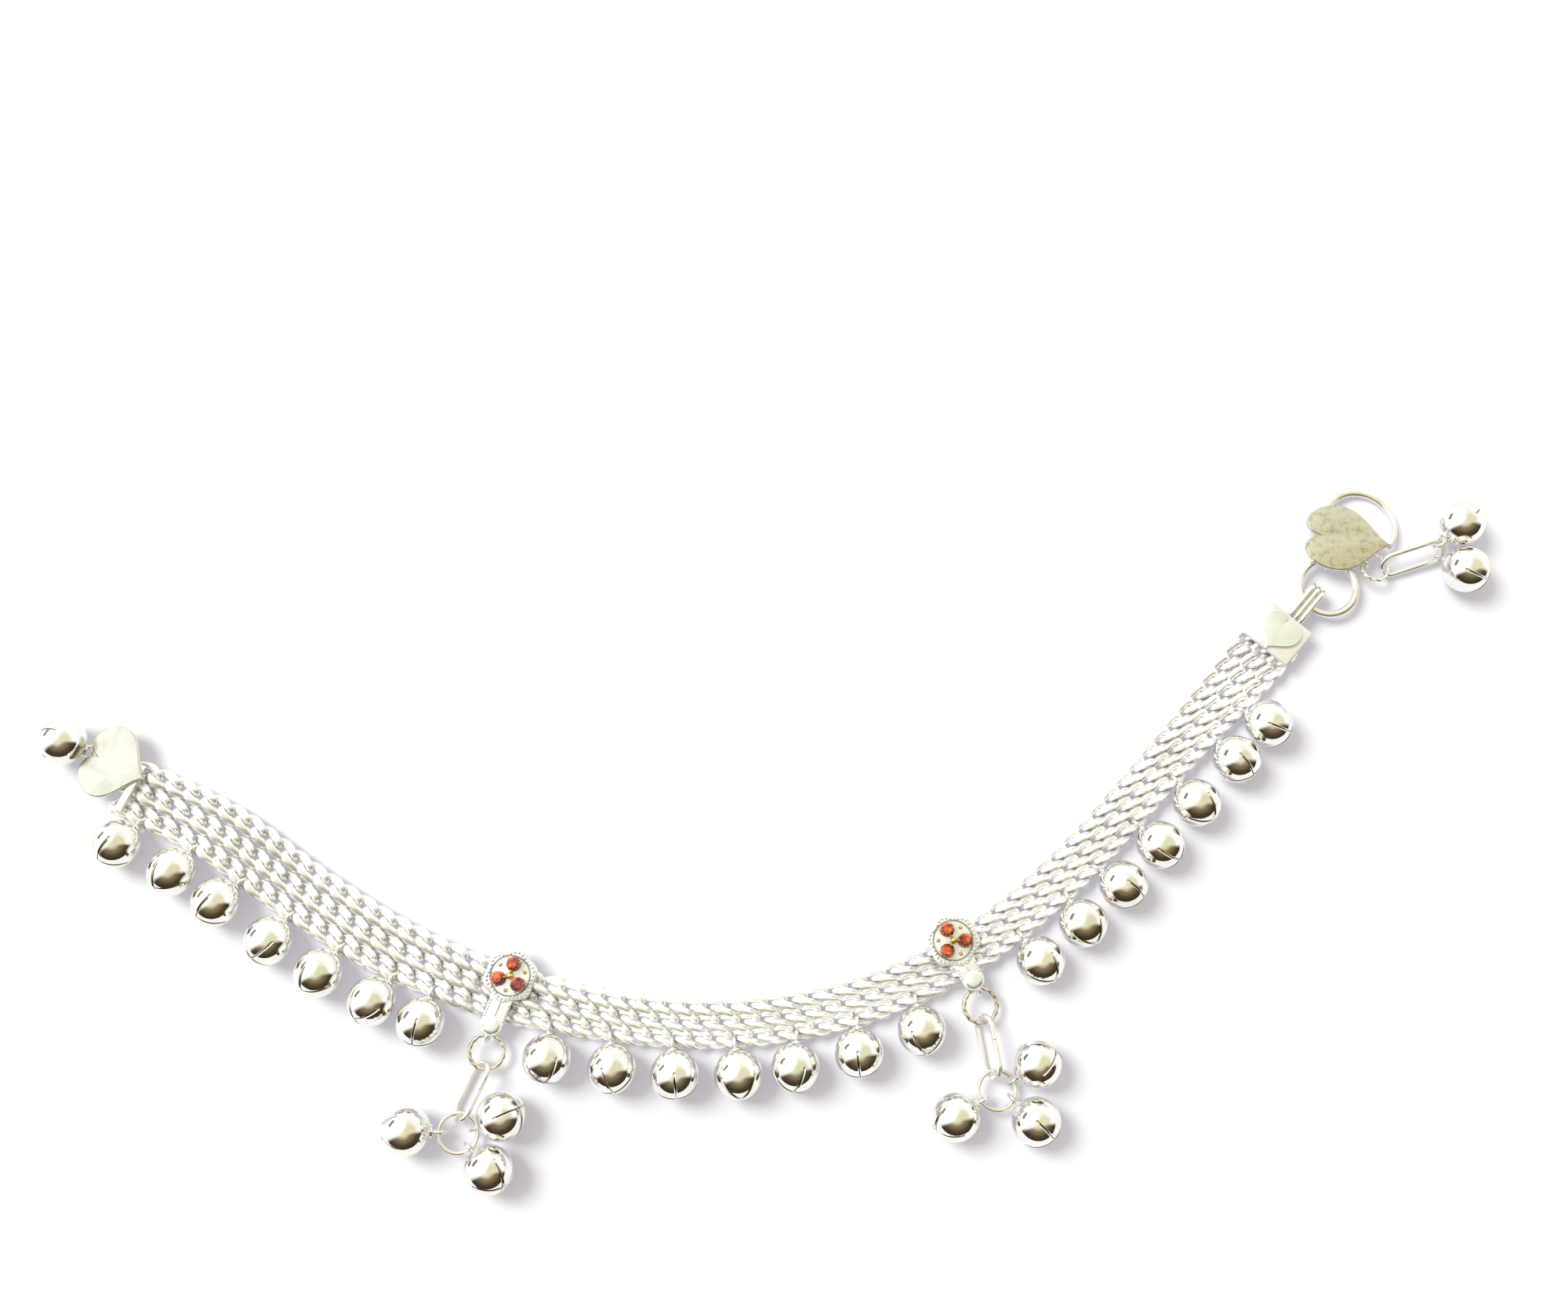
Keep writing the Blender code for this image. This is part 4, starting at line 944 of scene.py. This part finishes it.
def add_hook_clasp():
    """Bare heart plate, round hook with a tapered end, and the two eyes. Returns the clasp eye."""
    anchor = Vector((JUMP_PLACE[0], JUMP_PLACE[1] + JUMP_R, 0))
    tilt = Matrix.Translation(anchor + Vector((0, 0, HOOK_HEIGHT)))
    tilt = tilt @ Matrix.Rotation(-HOOK_TILT, 4, "X")
    flat = Matrix.Translation(-anchor)
    turn = Matrix.Rotation(HOOK_PLATE_HEADING, 4, "Z")
    outline = []
    for x, y in heart_outline(HOOK_L, HOOK_W):
        spot = flat @ (turn @ Vector((x, y, 0)) + Vector((*HOOK_PLATE_PLACE, 0)))
        outline.append((spot.x, spot.y))
    shape = Shape()
    shape.add(plate_form(outline, HEART_THICK, PLATE_EDGE), tilt, 1)
    centre = flat @ Vector((*HOOK_PLACE, 0))
    start, end = HOOK_ARC
    root = centre + heading(end) * HOOK_R
    line, sizes = [], []
    for step in range(49):
        angle = end + (start - end) * step / 48
        spot = centre + heading(angle) * HOOK_R
        drop = HOOK_WIRE / 2 - HOOK_SINK + (spot.x - root.x) * math.tan(HOOK_LEAN)
        line.append(tilt @ Vector((spot.x, spot.y, -drop)))
        taper = max(0.0, step / 48 - HOOK_TAPER_START) / (1 - HOOK_TAPER_START)
        sizes.append(HOOK_WIRE * (1.0 - HOOK_TAPER * taper))
    shape.add(tube_form(line, sizes, 18))
    eye_place = anchor + Vector((0, 0, JUMP_HEIGHT))
    shape.add(ring_form(HOOK_EYE_R, HOOK_EYE_WIRE, 40),
              axes(eye_place, heading(math.pi / 2), heading(math.pi)))
    under = tilt @ (flat @ Vector((*CLASP_EYE_PLACE, 0)))
    clasp_eye = Vector((*CLASP_EYE_PLACE, under.z + HEART_THICK / 2 - CLASP_EYE_R))
    shape.add(ring_form(CLASP_EYE_R, CLASP_EYE_WIRE),
              axes(clasp_eye, heading(CLASP_EYE_HEADING), heading(CLASP_EYE_HEADING + math.pi / 2)))
    piece("heart_hook", shape, [WIRE, DULL], ["hook_clasp"])
    return clasp_eye


def add_clasp_drop(eye):
    """Twisted ring in the clasp's eye, long link and its two bells."""
    ring = hung(CLASP_RING_R, eye, CLASP_RING_HEADING, CLASP_RING_ROLL)
    wire_piece("twist_clasp_ring", "clasp_ring",
               loop_form(round_path(CLASP_RING_R), CLASP_RING_WIRE, 144, 14, 12, 0.30), ring)
    near = inside(ring, CLASP_RING_R, CLASP_RING_WIRE, LONG_WIRE, CLASP_LINK_TURN)
    size = (CLASP_LINK - LONG_WIRE, LONG_WIDTH - LONG_WIRE)
    link = hung((CLASP_LINK - LONG_WIRE) / 2, near, CLASP_LINK_HEADING, CLASP_LINK_ROLL,
                CLASP_LINK_HEIGHT)
    wire_piece("oval_clasp_link", "clasp_link", loop_form(oval_path(*size), LONG_WIRE, 80, 14),
               link)
    for number, (turn, angle) in enumerate(CLASP_BELLS, start=1):
        bell_on(f"bell_clasp_{number}", link, cad_oval(*size),
                math.radians(turn), math.radians(angle))


for number, node in enumerate(("chain_top", "chain_middle", "chain_bottom")):
    chain_piece(f"links_{node}", ROWS[number], node)
for group, plans in CHAIN_BELLS.items():
    for number, (link, swing) in enumerate(plans, start=1):
        lie = ROWS[-1].link(link)
        run = lie.to_3x3() @ Vector((1, 0, 0))
        angle = math.atan2(run.y, run.x) - math.pi / 2 + math.radians(swing)
        add_bell(f"bell_{group}_{number}", lie @ Vector((0, -STRAND, 0)), run, angle)
for plan in STATIONS:
    add_drop(plan, add_station(plan))
add_end_heart()
add_end_cap()
add_jump_ring()
add_clasp_drop(add_hook_clasp())


# ------------------------ floor, light, camera

def floor_look():
    """White, a little uneven, and lit from within so that its shadows stay pale."""
    made, tree, shader = nodes_of("white_floor_look")
    place = tree.nodes.new("ShaderNodeTexCoord")
    cloud = add(tree, "ShaderNodeTexNoise", Scale=35.0, Detail=3.0, Roughness=0.5)
    tree.links.new(place.outputs["Object"], cloud.inputs["Vector"])
    tone = ramp(tree, cloud.outputs["Fac"],
                [(0.35, (0.352, 0.360, 0.346)), (0.65, (0.362, 0.370, 0.356))])
    tree.links.new(tone.outputs["Color"], shader.inputs["Base Color"])
    shader.inputs["Roughness"].default_value = 0.7
    shader.inputs["Specular IOR Level"].default_value = 0.2
    shader.inputs["Emission Color"].default_value = (0.325, 0.305, 0.365, 1.0)
    shader.inputs["Emission Strength"].default_value = 1.0
    return made


FLOOR_HALF, FLOOR_DROP = 1.5, 0.00001
floor_corners = [(x * FLOOR_HALF, y * FLOOR_HALF, 0)
                 for x, y in ((-1, -1), (1, -1), (1, 1), (-1, 1))]
floor_shape = Shape().add((floor_corners, [(0, 1, 2, 3)]))
floor = linked("floor", mesh_of("floor", floor_shape, [floor_look()]))
floor.location.z = -FLOOR_DROP

# What the silver mirrors: directions, with the cosines between which each zone fades, and colours
SKY = [(0.0, (1.15, 1.15, 1.18)), (0.45, (1.08, 1.08, 1.06)), (0.78, (0.98, 0.96, 0.82)),
       (1.0, (0.90, 0.86, 0.66))]
KHAKI_WAY, KHAKI_FADE, KHAKI = (0.50, 0.05, 0.86), (0.80, 0.95), (0.84, 0.79, 0.56)
BRIGHT_WAY, BRIGHT_FADE, BRIGHT = (-0.62, 0.45, 0.62), (0.55, 0.9), (1.38, 1.38, 1.38)
DARK_WAY, DARK_FADE = (0.22, -0.975, 0.0), (0.15, 0.42)
DARK = [(0.0, (0.025, 0.018, 0.012)), (0.45, (0.095, 0.066, 0.036)), (0.78, (0.27, 0.21, 0.12)),
        (0.97, (0.84, 0.79, 0.60))]
DASH_SIDE, DASH_SIDE_FADE = (-0.195, 0.287, -0.938), (0.09, 0.15)
DASH_WAY, DASH_FADE = (-0.835, 0.453, 0.312), (0.960, 0.978)
DASH_DEPTH, DASH = 0.9, (0.12, 0.12, 0.10)


def set_world():
    """A white room with a cream ceiling, a dark side low down and one small dark dash."""
    world = bpy.data.worlds.new("room")
    bpy.context.scene.world = world
    world.use_nodes = True
    tree = world.node_tree
    links = tree.links
    back = tree.nodes["Background"]
    place = tree.nodes.new("ShaderNodeTexCoord")

    def facing(direction):
        """Cosine between what is looked at and this direction."""
        node = tree.nodes.new("ShaderNodeVectorMath")
        node.operation = "DOT_PRODUCT"
        links.new(place.outputs["Generated"], node.inputs[0])
        node.inputs[1].default_value = Vector(direction).normalized()
        return node.outputs["Value"]

    def step(source, low, high, start=0.0, end=1.0):
        node = add(tree, "ShaderNodeMapRange", interpolation_type="SMOOTHSTEP",
                   **{"From Min": low, "From Max": high, "To Min": start, "To Max": end})
        links.new(source, node.inputs["Value"])
        return node.outputs["Result"]

    def maths(kind, *values):
        node = tree.nodes.new("ShaderNodeMath")
        node.operation = kind
        for socket, value in zip(node.inputs, values):
            if isinstance(value, float):
                socket.default_value = value
            else:
                links.new(value, socket)
        return node.outputs["Value"]

    def blend(factor, a, b):
        node = tree.nodes.new("ShaderNodeMix")
        node.data_type = "RGBA"
        links.new(factor, node.inputs["Factor"])
        for socket, value in ((node.inputs[6], a), (node.inputs[7], b)):
            if isinstance(value, tuple):
                socket.default_value = (*value, 1.0)
            else:
                links.new(value, socket)
        return node.outputs[2]

    height = facing((0, 0, 1))
    sky = ramp(tree, height, SKY).outputs["Color"]
    sky = blend(step(facing(KHAKI_WAY), *KHAKI_FADE), sky, KHAKI)
    sky = blend(step(facing(BRIGHT_WAY), *BRIGHT_FADE), sky, BRIGHT)
    dark = ramp(tree, height, DARK).outputs["Color"]
    sky = blend(step(facing(DARK_WAY), *DARK_FADE), sky, dark)
    along = step(maths("ABSOLUTE", facing(DASH_SIDE)), *DASH_SIDE_FADE, 1.0, 0.0)
    spot = step(facing(DASH_WAY), *DASH_FADE)
    sky = blend(maths("MULTIPLY", maths("MULTIPLY", along, spot), DASH_DEPTH), sky, DASH)
    links.new(sky, back.inputs["Color"])
    back.inputs["Strength"].default_value = 1.0


set_world()

sun_data = bpy.data.lights.new("soft_key", "SUN")
sun_data.energy = 5.0
sun_data.angle = math.radians(26)
sun_data.color = (1.0, 0.995, 0.98)
sun = linked("soft_key", sun_data)
sun.visible_glossy = False
sun.rotation_euler = Vector((-0.66, 0.36, 0.95)).to_track_quat("Z", "Y").to_euler()

lens = bpy.data.cameras.new("camera")
lens.lens = 37.8
lens.sensor_width = 36.0
lens.sensor_fit = "HORIZONTAL"
lens.clip_start, lens.clip_end = 0.01, 10.0
camera = linked("camera", lens)
eye_place = Vector((0.0006, -0.0196, 0.1951)) + SHIFT
target = Vector((0.0006, 0.0219, 0.0)) + SHIFT
camera.location = eye_place
camera.rotation_euler = (target - eye_place).to_track_quat("-Z", "Y").to_euler()
bpy.context.scene.camera = camera

bpy.context.scene.view_settings.view_transform = "Standard"
bpy.context.scene.view_settings.look = "None"
